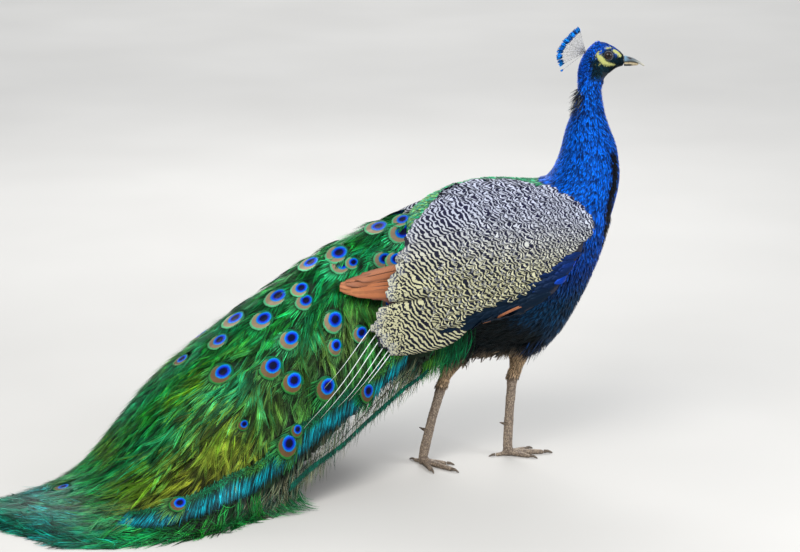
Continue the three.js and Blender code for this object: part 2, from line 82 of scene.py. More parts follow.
# %% [markdown]
# ## Camera, light and floor
# A long lens a few metres away keeps the bird's proportions, as it would across a yard. The light is
# a large soft box above and in front, with weaker ones from the right and behind, so that every feather
# has a bright and a dark side but no hard shadow. A wide one far back keeps the floor pale. The plain
# colour transform keeps the blues as saturated as feathers are, where a film-like one would grey them.
# %% Camera
CAMERA_PLACE = (-120.25, -4769.13, 1539.9)
CAMERA_DOWN_DEG = 14.0
CAMERA_LENS = 121.6

camera = bpy.data.objects.new("camera", bpy.data.cameras.new("camera"))
camera.data.lens = CAMERA_LENS
camera.data.sensor_width = 36.0
camera.data.clip_end = 60.0
camera.location = place(CAMERA_PLACE)
camera.rotation_euler = (np.radians(90 - CAMERA_DOWN_DEG), 0, 0)
bpy.context.scene.collection.objects.link(camera)
bpy.context.scene.camera = camera
bpy.context.scene.view_settings.view_transform = "Standard"

# %% Lights
ON_BIRD = (-100, -60, 350)
LIGHTS = {  # place, aim, width, watts, colour
    "key": ((-900, -2300, 2600), ON_BIRD, 1.8, 98, (1.0, 0.98, 0.95)),
    "side": ((2100, -900, 1500), ON_BIRD, 1.4, 34, (0.95, 0.97, 1.0)),
    "back": ((-300, 2400, 2300), ON_BIRD, 1.8, 45, (1.0, 1.0, 1.0)),
    "far": ((-200, 5600, 3200), (-200, 5600, 0), 5.0, 130, (1.0, 1.0, 1.0)),
}
for name, (spot, target, width, watts, colour) in LIGHTS.items():
    light = bpy.data.lights.new(name, "AREA")
    light.size = width
    light.energy = watts
    light.color = colour
    lamp = bpy.data.objects.new(name, light)
    lamp.location = place(spot)
    aim = Vector(place(target)) - lamp.location
    lamp.rotation_euler = aim.to_track_quat("-Z", "Y").to_euler()
    bpy.context.scene.collection.objects.link(lamp)

SKY = (0.86, 0.9, 0.96, 1)
SKY_STRENGTH = 0.62
world = bpy.data.worlds.new("studio")
world.use_nodes = True
sky = world.node_tree.nodes["Background"].inputs
sky["Color"].default_value = SKY
sky["Strength"].default_value = SKY_STRENGTH
bpy.context.scene.world = world
print("lights:", ", ".join(LIGHTS))

# %% [markdown]
# ## Finishes as sums
# A node tree is easier to read as arithmetic. `Wire` wraps one output socket, so that `wire * 2 + 1`
# adds the Math nodes, and colours go through Mix and Vector Math. `Finish` is one material: it
# makes any other node by its type, its settings and its inputs.
# %% A socket that can be used in sums
class Wire:
    def __init__(self, finish, socket):
        self.finish = finish
        self.socket = socket

    def math(self, operation, *values):
        settings = {"operation": operation}
        return self.finish.node("ShaderNodeMath", settings, dict(enumerate(values)))

    def __add__(self, other):
        return self.math("ADD", self, other)

    def __sub__(self, other):
        return self.math("SUBTRACT", self, other)

    def __rsub__(self, other):
        return self.math("SUBTRACT", other, self)

    def __mul__(self, other):
        return self.math("MULTIPLY", self, other)

    def __truediv__(self, other):
        return self.math("DIVIDE", self, other)

    def __pow__(self, other):
        return self.math("POWER", self, other)

    __radd__ = __add__
    __rmul__ = __mul__

    def sine(self):
        return self.math("SINE", self)

    def size(self):
        return self.math("ABSOLUTE", self)

    def step(self, start, end):
        """0 below start, 1 above end, and smooth between. It may run the other way."""
        settings = {"interpolation_type": "SMOOTHSTEP"}
        ends = {"From Min": min(start, end), "From Max": max(start, end)}
        ends["To Min"], ends["To Max"] = (0.0, 1.0) if end > start else (1.0, 0.0)
        return self.finish.node("ShaderNodeMapRange", settings, {"Value": self, **ends})

    def part(self, axis):
        return self.finish.node("ShaderNodeSeparateXYZ", {}, {0: self}, axis)


# %% A material
def socket_name(word):
    """specular_ior_level as the shader spells it, Specular IOR Level."""
    return word.replace("_", " ").title().replace("Ior", "IOR")


class Finish:
    def __init__(self, name, **values):
        self.material = bpy.data.materials.new(name)
        self.material.use_nodes = True
        self.nodes = self.material.node_tree.nodes
        self.shader = self.nodes["Principled BSDF"]
        for socket, value in values.items():
            self.shader.inputs[socket_name(socket)].default_value = value

    def node(self, kind, settings=None, inputs=None, output=0):
        made = self.nodes.new(kind)
        for key, value in (settings or {}).items():
            if key == "stops":
                self.set_stops(made.color_ramp, value)
            else:
                setattr(made, key, value)
        for key, value in (inputs or {}).items():
            self.connect(made.inputs[key], value)
        return Wire(self, made.outputs[output])

    def connect(self, socket, value):
        if isinstance(value, Wire):
            self.material.node_tree.links.new(value.socket, socket)
        else:
            socket.default_value = value

    @staticmethod
    def set_stops(ramp, stops):
        while len(ramp.elements) < len(stops):
            ramp.elements.new(1.0)
        for element, (position, colour) in zip(ramp.elements, stops):
            element.position = position
            element.color = (*colour, 1)

    def ramp(self, value, *stops):
        return self.node("ShaderNodeValToRGB", {"stops": stops}, {"Fac": value})

    def attribute(self, name, output="Fac"):
        return self.node("ShaderNodeAttribute", {"attribute_name": name}, {}, output)

    def position(self):
        return self.node("ShaderNodeTexCoord", {}, {}, "Object")

    def noise(self, scale, detail=2.0, where=None, output="Fac"):
        inputs = {"Vector": where or self.position(), "Scale": scale, "Detail": detail}
        return self.node("ShaderNodeTexNoise", {}, inputs, output)

    def mix(self, share, first, second, blend="MIX"):
        """Two colours mixed. A plain colour may stand for either."""
        first, second = [c if isinstance(c, Wire) else (*c, 1) for c in (first, second)]
        settings = {"data_type": "RGBA", "blend_type": blend, "clamp_factor": True}
        return self.node("ShaderNodeMix", settings, {0: share, 6: first, 7: second}, 2)

    def scaled(self, colour, amount):
        """A colour made brighter or darker."""
        return self.node("ShaderNodeVectorMath", {"operation": "SCALE"}, {0: colour, 3: amount})

    def bump(self, height, distance, strength=1.0):
        inputs = {"Height": height, "Distance": distance, "Strength": strength}
        self.connect(self.shader.inputs["Normal"], self.node("ShaderNodeBump", {}, inputs))

    def feed(self, **wires):
        for socket, wire in wires.items():
            self.connect(self.shader.inputs[socket_name(socket)], wire)
        return self.material


def srgb(*levels):
    """A colour given as screen levels, 0 to 255, as the linear light that the shader needs."""
    share = np.asarray(levels, float) / 255
    curved = np.where(share <= 0.04045, share / 12.92, ((share + 0.055) / 1.055) ** 2.4)
    return tuple(curved)


# %% Floor
FLOOR_REACH = 14  # metres to each side
FLOOR_DARK = (0.3, srgb(192, 190, 186))
FLOOR_LIGHT = (0.7, srgb(198, 196, 192))

floor_mesh = bmesh.new()
bmesh.ops.create_grid(floor_mesh, x_segments=1, y_segments=1, size=FLOOR_REACH)
floor_data = bpy.data.meshes.new("floor")
floor_mesh.to_mesh(floor_data)
floor_mesh.free()
floor = bpy.data.objects.new("floor", floor_data)
bpy.context.scene.collection.objects.link(floor)
floor_finish = Finish("pale_floor", roughness=0.85)
floor_tone = floor_finish.ramp(floor_finish.noise(1.5), FLOOR_DARK, FLOOR_LIGHT)
floor_data.materials.append(floor_finish.feed(base_color=floor_tone))

# %% [markdown]
# ## Tools for shapes
# A smooth curve through a table's rows gives any place between them. A `Form` is a surface that
# feathers can be laid on: it finds the nearest point and which way is out. `sheets` turns many
# lines into many thin vanes at once, because a bird has tens of thousands of feathers, and one
# joined mesh from arrays is built in a second where separate operators would take minutes.
# %% Curves and measures
def row_at(table, places):
    """Rows of a table at any places from 0 to its last row, on a smooth curve through them."""
    table = np.asarray(table, float)
    last = len(table) - 1
    places = np.asarray(places, float)
    index = np.clip(np.floor(places).astype(int), 0, last - 1)
    share = (places - index)[..., None]
    before, start, end, after = [table[np.clip(index + k, 0, last)] for k in (-1, 0, 1, 2)]
    square, cube = share ** 2, share ** 3
    return ((2 * cube - 3 * square + 1) * start + (cube - 2 * square + share) * (end - before) / 2
            + (3 * square - 2 * cube) * end + (cube - square) * (after - start) / 2)


def smooth(value, start, end):
    """0 at start, 1 at end, and smooth between."""
    share = np.clip((np.asarray(value, float) - start) / (end - start), 0, 1)
    return share * share * (3 - 2 * share)


def unit(vectors):
    """The same directions, at unit length."""
    return vectors / np.maximum(np.linalg.norm(vectors, axis=-1, keepdims=True), 1e-12)


def flattened(vectors, ups):
    """Vectors with the part along ups taken away, at unit length."""
    return unit(vectors - ups * (vectors * ups).sum(-1, keepdims=True))


def blended(share, first, second):
    """The first colour where share is 0, the second where it is 1, and a mix between."""
    share = np.asarray(share, float)[..., None]
    return np.asarray(first, float) * (1 - share) + np.asarray(second, float) * share


def nearest_row(points, rows):
    """For each point, the index of the row of coordinates that is nearest."""
    nearest = np.zeros(len(points), int)
    shortest = np.full(len(points), np.inf, points.dtype)
    for index, row in enumerate(rows):
        gap = sum((column - value) ** 2 for column, value in zip(points.T, row))
        closer = gap < shortest
        nearest[closer] = index
        shortest[closer] = gap[closer]
    return nearest


def first_in_cells(points, spacing):
    """The index of the first point in each cube of a grid, which thins them evenly."""
    cells = np.floor(points / spacing).astype(np.int64) + 4096
    codes = (cells[:, 0] << 26) + (cells[:, 1] << 13) + cells[:, 2]
    return np.unique(codes, return_index=True)[1]


# %% Arrays in and out of meshes
def vertex_array(mesh, kind="co"):
    """A mesh's vertices as rows, or with "normal" the directions that they face."""
    values = np.zeros(len(mesh.vertices) * 3)
    if kind == "co":
        mesh.vertices.foreach_get("co", values)
    else:
        mesh.vertex_normals.foreach_get("vector", values)
    return values.reshape(-1, 3)


def moved(mesh, points):
    """The mesh, with its vertices put at these points."""
    mesh.vertices.foreach_set("co", points.ravel())
    mesh.update()
    return mesh


def with_alpha(colours):
    """Rows of red, green and blue as one flat list with a full alpha after each."""
    return np.hstack([colours, np.ones((len(colours), 1))]).ravel()


# %% A surface that feathers are laid on
class Form:
    def __init__(self, mesh):
        self.points = vertex_array(mesh)
        mesh.calc_loop_triangles()
        corners = np.zeros(len(mesh.loop_triangles) * 3, int)
        mesh.loop_triangles.foreach_get("vertices", corners)
        self.faces = corners.reshape(-1, 3)
        self.tree = BVHTree.FromPolygons(self.points.tolist(), self.faces.tolist())

    def nearest(self, points):
        """The surface's nearest place to each point, and the way that it faces there."""
        found = [self.tree.find_nearest(p)[:2] for p in points.tolist()]
        return np.array([f[0] for f in found]), np.array([f[1] for f in found])

    def scatter(self, spacing, keep):
        """Points spread evenly over the surface, about `spacing` apart, where keep says so."""
        a, b, c = [self.points[self.faces[:, k]] for k in range(3)]
        cross = np.cross(b - a, c - a)
        size = np.linalg.norm(cross, axis=1)
        count = int(size.sum() / 2 / spacing ** 2 * 4)
        picked = rng.choice(len(size), count, p=size / size.sum())
        one, two = np.sqrt(rng.random((2, count)))
        two = two ** 2
        points = ((1 - one)[:, None] * a[picked] + (one * (1 - two))[:, None] * b[picked]
                  + (one * two)[:, None] * c[picked])
        first = np.sort(first_in_cells(points, spacing))
        points, normals = points[first], unit(cross[picked[first]])
        chosen = keep(points, normals)
        return points[chosen], normals[chosen]


def trace(form, roots, lie, lengths, steps, lift, rise, sway=0.0):
    """Lays a line from every root along the form, and returns its points and the form's normals.

    It starts `lift` above the surface and ends `rise` higher. sway turns each line at random."""
    count = len(roots)
    lengths, lift, rise = [np.broadcast_to(v, count)[:, None] for v in (lengths, lift, rise)]
    turn = rng.normal(0, 1, (count, 1)) * sway
    here, up = form.nearest(roots)
    points, ups = [], []
    for step in range(steps):
        share = step / (steps - 1)
        points.append(here + up * (lift + rise * share ** 1.5))
        ups.append(up)
        way = flattened(lie(here), up)
        way = flattened(way + np.cross(up, way) * turn, up)
        here, up = form.nearest(here + way * lengths / (steps - 1))
    return np.stack(points, 1), np.stack(ups, 1)


# %% Thin vanes from lines
# Outlines, as shares of the half width from root to tip.
LEAF = (0.45, 0.85, 1.0, 0.95, 0.7, 0.12)
BARB = (0.9, 1.0, 0.9, 0.7, 0.15)
MOST_TRIANGLES = 190000  # in one piece
# No vane may reach further than this past the solids' box.
box_size = np.array(cad_box[1]) - np.array(cad_box[0])
LOWEST = np.array(cad_box[0]) - (0.02 * box_size + 0.008) * (1, 1, 0) + (0, 0, 0.0004)
HIGHEST = np.array(cad_box[1]) + 0.02 * box_size + 0.006


def profile(widths, rows):
    """An outline's width at each of a vane's rows."""
    return np.interp(np.linspace(0, 1, rows), np.linspace(0, 1, len(widths)), widths)


def sheets(name, lines, ups, half, shape, finish, slot, columns=3, cup=0.25, roots=None, patch=0.003,
           **fields):
    """One joined mesh with a vane along every line.

    half is each vane's half width, shape its outline from root to tip, and cup how far its edges curve
    down. roots are the vanes' places on the OFBake map and patch is the size of each there. fields
    become attributes: one value for each vane, one for each of its rows, or a function of the points.
    Every vane also carries `along`, `across` and `run`, its millimetres from the root."""
    count, rows = lines.shape[:2]
    most = MOST_TRIANGLES // (2 * (rows - 1) * (columns - 1))
    if count > most:
        def cut(value, start):
            one_each = isinstance(value, np.ndarray) and len(value) == count
            return value[start:start + most] if one_each else value

        for number, start in enumerate(range(0, count, most)):
            parts = {key: cut(value, start) for key, value in fields.items()}
            sheets(f"{name}_{number + 1}", cut(lines, start), cut(ups, start), cut(half, start), shape,
                   finish, slot, columns, cup, cut(roots, start), patch, **parts)
        return None
    ways = unit(np.gradient(lines, axis=1))
    sides = unit(np.cross(ups, ways))
    across = np.linspace(-1, 1, columns)
    widths = np.broadcast_to(half, count)[:, None] * profile(shape, rows)
    reach = widths[:, :, None] * across
    dip = widths[:, :, None] * across ** 2 * cup
    points = (lines[:, :, None] + sides[:, :, None] * reach[..., None]
              - np.cross(ways, sides)[:, :, None] * dip[..., None])
    points = np.clip(points, LOWEST, HIGHEST)
    corner = np.arange(rows * columns).reshape(rows, columns)
    quad = np.stack([corner[:-1, :-1], corner[:-1, 1:], corner[1:, 1:], corner[1:, :-1]], -1)
    faces = (quad.reshape(1, -1, 4) + np.arange(count)[:, None, None] * rows * columns).reshape(-1, 4)
    along = np.linspace(0, 1, rows)
    steps = np.linalg.norm(np.diff(lines, axis=1), axis=2) / MM
    run = np.concatenate([np.zeros((count, 1)), np.cumsum(steps, 1)], 1)
    grids = {"along": along[None, :, None], "across": across[None, None, :], "run": run[:, :, None]}
    for key, value in fields.items():
        ends = (1, 3) if key == "dye" else (1,)
        if callable(value):
            grids[key] = value(points)
        else:
            grids[key] = np.asarray(value, float).reshape(count, -1, *ends)
    uvs = None
    if roots is not None:
        shares = np.stack(np.broadcast_arrays((across + 1) / 2, along[:, None]), -1)
        uvs = np.clip(roots[:, None, None] + (shares - 0.5) * patch, 0.0005, 0.9995)
    return mesh_piece(name, points, faces, grids, uvs, (count, rows, columns), finish, slot)


def mesh_piece(name, points, faces, grids, uvs, form, finish, slot):
    """A Blender mesh from arrays, with its attributes and its OFBake map, riding on the bird."""
    mesh = bpy.data.meshes.new(name)
    points = np.ascontiguousarray(points.reshape(-1, 3), np.float32)
    mesh.vertices.add(len(points))
    mesh.vertices.foreach_set("co", points.ravel())
    mesh.loops.add(faces.size)
    mesh.polygons.add(len(faces))
    mesh.loops.foreach_set("vertex_index", faces.ravel().astype(np.int32))
    starts = np.arange(len(faces), dtype=np.int32) * faces.shape[1]
    mesh.polygons.foreach_set("loop_start", starts)
    for key, grid in grids.items():
        if key == "dye":
            grid = np.broadcast_to(grid, (*form, 3)).reshape(-1, 3)
            layer = mesh.attributes.new(key, "FLOAT_COLOR", "POINT")
            layer.data.foreach_set("color", with_alpha(grid).astype(np.float32))
        else:
            layer = mesh.attributes.new(key, "FLOAT", "POINT")
            grid = np.broadcast_to(grid, form).ravel()
            layer.data.foreach_set("value", grid.astype(np.float32))
    if uvs is not None:
        uvs = np.broadcast_to(uvs, (*form, 2)).reshape(-1, 2)[faces.ravel()]
        mesh.uv_layers.new(name="OFBake").data.foreach_set("uv", uvs.ravel().astype(np.float32))
    mesh.update(calc_edges=True)
    mesh.polygons.foreach_set("use_smooth", np.ones(len(faces), bool))
    return dress(bpy.data.objects.new(name, mesh), finish, slot)


def dress(piece, finish, slot):
    """Puts a finished piece in the scene: its material and the body that it rides on. slot is not used."""
    bpy.context.scene.collection.objects.link(piece)
    piece.data.materials.clear()
    piece.data.materials.append(finish)
    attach(piece, BODY)
    piece.data.calc_loop_triangles()
    print(f"{piece.name}: {len(piece.data.loop_triangles)} triangles")
    return piece


# %% [markdown]
# ## One skin
# In life one skin covers the head, neck, trunk and legs, so here one mesh does. Copies of the flesh
# solids are joined and remeshed, which closes the cuts between them, then smoothed and
# shrunk by the depth of the coat that grows on it, so that the feathers' outer ends come to the
# measured outline.
# %% Where a point is along the bird
SPINE = [  # x, z of a line from the bill's base through the head and neck to the rump
    (279, 748), (262, 754), (244, 755), (229, 741), (223, 716), (219, 680), (217, 647), (217, 621),
    (219, 593), (217, 567), (212, 543), (200, 517), (183, 490), (160, 455), (125, 410), (87, 376),
    (45, 367), (-20, 362), (-85, 345), (-131, 350), (-169, 354), (-200, 349),
]
SPINE_STEPS = 120
spine = row_at(SPINE, np.linspace(0, len(SPINE) - 1, SPINE_STEPS))
spine_way = unit(np.gradient(spine, axis=0))
spine_run = np.concatenate([[0], np.cumsum(np.linalg.norm(np.diff(spine, axis=0), axis=1))])
HEAD_ENDS = 82  # distances along the spine
NECK_ENDS = 290


def spine_index(points):
    """The nearest of the spine's steps to each point in the scene."""
    flat = measure(points)[:, [0, 2]].astype(np.float32)
    return nearest_row(flat, spine.astype(np.float32))


def stations(points):
    """How far along the spine each point in the scene is."""
    return spine_run[spine_index(points)]


def body_lie(points):
    """The way that feathers lie on the body: from the bill to the rump, and down the thighs."""
    way = spine_way[spine_index(points)]
    lie = np.stack([way[:, 0], np.zeros(len(way)), way[:, 1]], 1)
    on_leg = leg_share(points)[:, None]
    return unit(lie * (1 - on_leg) + np.array([-0.25, 0, -1.0]) * on_leg)


def leg_share(points):
    """1 on the legs below the belly, and 0 on the rest of the bird."""
    x, y, z = measure(points).T
    return smooth(z, 232, 204) * np.maximum(smooth(x, 150, 122), smooth(z, 190, 170))


def body_unwrap(points):
    """Places on an unwrap of the skin: around the spine and along it, with the legs in a band below."""
    x, y, z = measure(points).T
    index = spine_index(points)
    way = spine_way[index]
    out = (x - spine[index, 0]) * way[:, 1] - (z - spine[index, 1]) * way[:, 0]
    around = np.arctan2(y, out) / (2 * np.pi) + 0.5
    trunk = np.stack([0.02 + 0.94 * around, 0.25 + 0.73 * spine_run[index] / spine_run[-1]], 1)
    side = np.where(y > 5, 0.5, 0.0)
    centre = np.where(y > 5, 85, -20 - 0.3 * np.clip(z, 0, 190))
    turn = np.arctan2(y - np.where(y > 5, 30, -35), x - centre) / (2 * np.pi) + 0.5
    leg = np.stack([side + 0.01 + 0.47 * turn, 0.01 + 0.22 * np.clip(z / 232, 0, 1)], 1)
    return np.where(leg_share(points)[:, None] > 0.5, leg, trunk)


# %% Colours of the plumage
NECK_BLUE = srgb(0, 102, 226)
CROWN_BLUE = srgb(0, 96, 226)
THROAT_TEAL = srgb(2, 46, 62)
BREAST_BLUE = srgb(0, 62, 150)
BREAST_TEAL = srgb(2, 56, 92)
BELLY_DARK = srgb(6, 20, 24)
NECK_SHADE_DARK = srgb(0, 6, 22)
# Heights, and the x there, of a dark line of painted shade near the front edge of the neck.
NECK_SHADE_LINE = ((400, 416, 488, 543, 581, 606), (247, 249, 256, 264, 260, 254))
SHADE_LINE_HALF_WIDTH = 5.5
MANTLE_GREEN = srgb(2, 138, 88)
MANTLE_LIME = srgb(130, 176, 20)
THIGH_BUFF = srgb(186, 158, 124)
LEG_GREY = srgb(124, 108, 94)
FACE_PALE = srgb(206, 208, 122)
FACE_PATCHES = [  # bare pale skin: a brow line, a wedge before the eye, a crescent behind and below it
    ([(245, 771.5), (255, 772)], (1.3, 1.3)),
    ([(259.5, 767), (266, 763), (272, 757)], (1.8, 3.2, 2.2)),
    ([(231.5, 762.5), (236, 754), (243, 747), (251, 743.5), (262, 741)], (3.6, 4.9, 4.3, 3.4, 1.6)),
]


def face_patch(points):
    """1 inside the bare pale patches of the face, falling to 0 over a millimetre."""
    x, y, z = measure(points).T
    share = np.zeros(len(x))
    near = (z > 725) & (x > 222) & (np.abs(y) > 6)
    inside = np.full(near.sum(), -9.0)
    for line, halves in FACE_PATCHES:
        steps = np.linspace(0, len(line) - 1, 24)
        for (px, pz), half in zip(row_at(line, steps), np.interp(steps, range(len(line)), halves)):
            inside = np.maximum(inside, half - np.hypot(x[near] - px, z[near] - pz))
    ragged = 0.7 * np.sin(1.9 * x[near] + 1.1 * z[near]) * np.sin(2.3 * z[near] - 0.7 * x[near])
    share[near] = smooth(inside + ragged, -0.5, 0.5)
    return share


def back_share(points):
    """1 on the green back between the wings, and 0 elsewhere."""
    x, y, z = measure(points).T
    front = smooth(z + 0.48 * (x - 114), 541, 529) * smooth(x, 206, 192)
    return front * smooth(z, 440, 490) * smooth(z, 570, 545)


def plumage(points):
    """The colour of the coat, and of the skin under it, at points in the scene."""
    x, y, z = measure(points).T
    run = stations(points)
    cheek = smooth(x, 213, 222) * smooth(z, 703, 722) * smooth(z, 762, 752)
    cheek = cheek + smooth(x, 264, 272) * (z < 762)
    colour = blended(np.clip(cheek, 0, 1), CROWN_BLUE, THROAT_TEAL)
    from_eye = np.hypot(x - EYE_CENTRE[0], z - EYE_CENTRE[2])
    colour = blended(smooth(from_eye, 13, 10) * (np.abs(y) > 8), colour, THROAT_TEAL)
    colour = blended(smooth(run, 74, 100), colour, NECK_BLUE)
    low_down = z + 0.12 * np.abs(y)
    colour = blended(smooth(low_down, 470, 395), colour, BREAST_BLUE)
    colour = blended(smooth(low_down, 400, 325), colour, BREAST_TEAL)
    colour = blended(smooth(low_down, 325, 268) * smooth(x, 175, 140), colour, BELLY_DARK)
    colour = blended(smooth(x, 120, 80) * smooth(z, 470, 420), colour, BELLY_DARK)
    # Painted shade: a dark line near the front edge of the neck, between these heights.
    seam = np.abs(x - np.interp(z, *NECK_SHADE_LINE)) < SHADE_LINE_HALF_WIDTH
    colour = blended(seam * smooth(z, 396, 420) * smooth(z, 606, 590), colour, NECK_SHADE_DARK)
    colour = blended(back_share(points), colour, MANTLE_GREEN)
    colour = blended(leg_share(points), colour, THIGH_BUFF)
    colour = blended(smooth(z, 166, 150), colour, LEG_GREY)
    return blended(face_patch(points), colour, FACE_PALE)


# Heights, and how much thicker than its solid a leg is there.
LEG_GROWTH = ((14, 32, 130, 165, 190, 235), (0, 1.8, 2.0, 4.2, 6.8, 6.8))
CROWN = (231, 790)  # x and z of the middle of the crown
CROWN_FILL = 4.5  # how much fuller it is than its solid
CROWN_SPREAD = 200  # of the fuller part, in square millimetres


def coat_depth(points):
    """How far the skin lies inside the measured outline, in metres."""
    x, y, z = measure(points).T
    run = stations(points)
    depth = 1.3 + 3.2 * smooth(run, 70, 130) + 4.0 * smooth(run, 230, 330)
    from_crown = (x - CROWN[0]) ** 2 + (z - CROWN[1]) ** 2
    fill = CROWN_FILL * np.exp(-from_crown / CROWN_SPREAD)
    depth = depth * (1 - 0.35 * leg_share(points)) - fill
    depth = (0.2 + (depth - 0.2) * smooth(z, 150, 175)) * (1 - 0.8 * face_patch(points))
    return MM * (depth - leg_share(points) * np.interp(z, *LEG_GROWTH))


# %% Join, remesh, smooth and shrink the solids
SOLID_OVERLAP = 0.4 * MM  # how far each copy is grown, so that the cuts between them close


def joined(names):
    """One bmesh of copies of CAD nodes, each closed and grown by a hair."""
    shape = bmesh.new()
    for name in names:
        part = bmesh.new()
        part.from_mesh(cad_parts[name].data)
        bmesh.ops.remove_doubles(part, verts=part.verts, dist=1e-6)
        part.normal_update()
        for vertex, normal in [(v, v.normal.copy()) for v in part.verts]:
            vertex.co += normal * SOLID_OVERLAP
        copy = bpy.data.meshes.new(name + "_copy")
        part.to_mesh(copy)
        part.free()
        shape.from_mesh(copy)
        bpy.data.meshes.remove(copy)
    return shape


def remeshed(name, shape, voxel, rounds):
    """A smooth, closed mesh of even quads in the place of a rough one."""
    rough = bpy.data.meshes.new(name)
    shape.to_mesh(rough)
    shape.free()
    carrier = bpy.data.objects.new(name + "_carrier", rough)
    bpy.context.scene.collection.objects.link(carrier)
    remesh = carrier.modifiers.new("remesh", "REMESH")
    remesh.mode = "VOXEL"
    remesh.voxel_size = voxel
    relax = carrier.modifiers.new("relax", "SMOOTH")
    relax.factor = 0.5
    relax.iterations = rounds
    depsgraph = bpy.context.evaluated_depsgraph_get()
    mesh = bpy.data.meshes.new_from_object(carrier.evaluated_get(depsgraph))
    bpy.data.objects.remove(carrier)
    bpy.data.meshes.remove(rough)
    mesh.name = name
    mesh.polygons.foreach_set("use_smooth", np.ones(len(mesh.polygons), bool))
    return mesh


def shrunk(mesh, depth):
    """The mesh moved inwards along its normals by the depth at each vertex."""
    points = vertex_array(mesh)
    return moved(mesh, points - vertex_array(mesh, "normal") * depth(points)[:, None])


def paint(mesh, colours, places):
    """Gives a mesh its dye at each vertex and its OFBake map, from the vertices' places on it.

    A face that crosses the map's seam is moved to one side of it, so that no face is stretched."""
    dye = mesh.attributes.new("dye", "FLOAT_COLOR", "POINT")
    dye.data.foreach_set("color", with_alpha(colours))
    corners = np.zeros(len(mesh.loops), int)
    mesh.loops.foreach_get("vertex_index", corners)
    flat = places[corners]
    sizes = np.zeros(len(mesh.polygons), int)
    mesh.polygons.foreach_get("loop_total", sizes)
    owner = np.repeat(np.arange(len(sizes)), sizes)
    highest = np.full(len(sizes), -1.0)
    np.maximum.at(highest, owner, flat[:, 0])
    flat[:, 0] = np.where(highest[owner] - flat[:, 0] > 0.4, highest[owner], flat[:, 0])
    mesh.uv_layers.new(name="OFBake").data.foreach_set("uv", np.clip(flat, 0, 1).ravel())


def nodes_of(*starts):
    """The CAD nodes whose names start with one of these."""
    return sorted(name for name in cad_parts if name.startswith(starts))


FLESH = nodes_of("head", "neck_", "breast", "trunk", "rump", "thigh_", "tarsus_", "toe_")
SKIN_VOXEL = 2.7 * MM
skin_mesh = shrunk(remeshed("skin", joined(FLESH), SKIN_VOXEL, 4), coat_depth)
skin_points = vertex_array(skin_mesh)
paint(skin_mesh, plumage(skin_points), body_unwrap(skin_points))
skin_form = Form(skin_mesh)

# %% The skin's finish
skin_finish = Finish("skin", roughness=0.62, specular_ior_level=0.35)
skin_grain = skin_finish.noise(900, 3)
skin_dye = skin_finish.attribute("dye", "Color")
skin_height = skin_finish.position().part(2)
bare = skin_height.step(0.175, 0.16) + skin_height.step(0.735, 0.745)
# Painted shade: the skin is darkened to stand for the shade in the gaps between the feathers over it, and
# left lighter low on the legs and high on the head, where it is bare.
skin_tone_with_gap_shade = skin_finish.scaled(skin_dye, 0.14 + bare * 0.4 + skin_grain * 0.3)
skin_finish.bump(skin_grain + skin_finish.noise(260) * 0.7, 0.0009)
skin_finish.feed(base_color=skin_tone_with_gap_shade)
skin = dress(bpy.data.objects.new("skin", skin_mesh), skin_finish.material, "body_plumage")
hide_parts(*FLESH)

# %% [markdown]
# ## The body's feathers
# Small contour feathers cover the head, neck and breast like roof tiles. Each is a thin cupped
# vane, laid along the skin from its root, and its tip stands a little off the one behind.
# Their dye is the skin's own colour at the root. The finish adds what a structural colour does: partly
# metallic, brighter at the tip, with fine ribs where the barbs run. Its darker root is partly the dull base
# of such a feather and partly painted shade, where the feather before lies over it.
# %% A finish for small feathers
RIB_PERIOD = 0.5
RIB_SLANT = 1.2


def feather_finish(name, roughness, metallic, root_shade=0.25, least=0.3, gain=1.5):
    finish = Finish(name, roughness=roughness, metallic=metallic, specular_ior_level=0.25)
    tint = finish.attribute("tint")
    along = finish.attribute("along")
    # Painted shade, in part: each feather is darker towards its root, where the one before covers it.
    shade = (least + tint * tint * gain) * (root_shade + (1 - root_shade) * along.step(0.0, 0.75))
    run = finish.attribute("run")
    slant = finish.attribute("across").size() * RIB_SLANT
    ribs = ((run + slant) * (2 * np.pi / RIB_PERIOD)).sine()
    finish.bump(ribs, 0.00015, 0.6)
    return finish.feed(base_color=finish.scaled(finish.attribute("dye", "Color"), shade))


neck_finish = feather_finish("blue_neck_feathers", 0.36, 0.55, least=0.16, gain=1.9)
breast_finish = feather_finish("breast_feathers", 0.45, 0.4)
thigh_finish = feather_finish("buff_down", 0.8, 0.0, 0.6)
mantle_finish = feather_finish("mantle_feathers", 0.38, 0.5)


# %% Lay a coat of feathers on the skin
def coat(name, spacing, keep, length, half, rows, lift, rise, sway, finish, slot, cup=0.3, jitter=1.5):
    """Feathers of a length and half width in millimetres, either numbers or functions of the root."""
    roots, _ = skin_form.scatter(spacing * MM, keep)
    length, half = [np.asarray(v(roots) if callable(v) else v) * MM for v in (length, half)]
    count = len(roots)
    length = length * rng.uniform(0.8, 1.2, count)
    lines, ups = trace(skin_form, roots, body_lie, length, rows, lift * MM, rise * MM, sway)
    shade_at = roots + rng.normal(0, jitter * MM, roots.shape)
    return sheets(name, lines, ups, half, LEAF, finish, slot, 3, cup, body_unwrap(roots),
                  dye=plumage(shade_at), tint=rng.random(count))


def on_eye(points, radius=7.6):
    x, y, z = measure(points).T
    return (np.hypot(x - EYE_CENTRE[0], z - EYE_CENTRE[2]) < radius) & (np.abs(y) > 8)


def on_face(points, normals):
    x, y, z = measure(points).T
    bare = face_patch(points) > 0.4
    return (stations(points) < 62) & (x < 278) & (x > 238) & ~bare & ~on_eye(points)


def on_crown(points, normals):
    x, y, z = measure(points).T
    bare = face_patch(points) > 0.4
    return (stations(points) < HEAD_ENDS) & (x <= 238) & ~bare & ~on_eye(points)


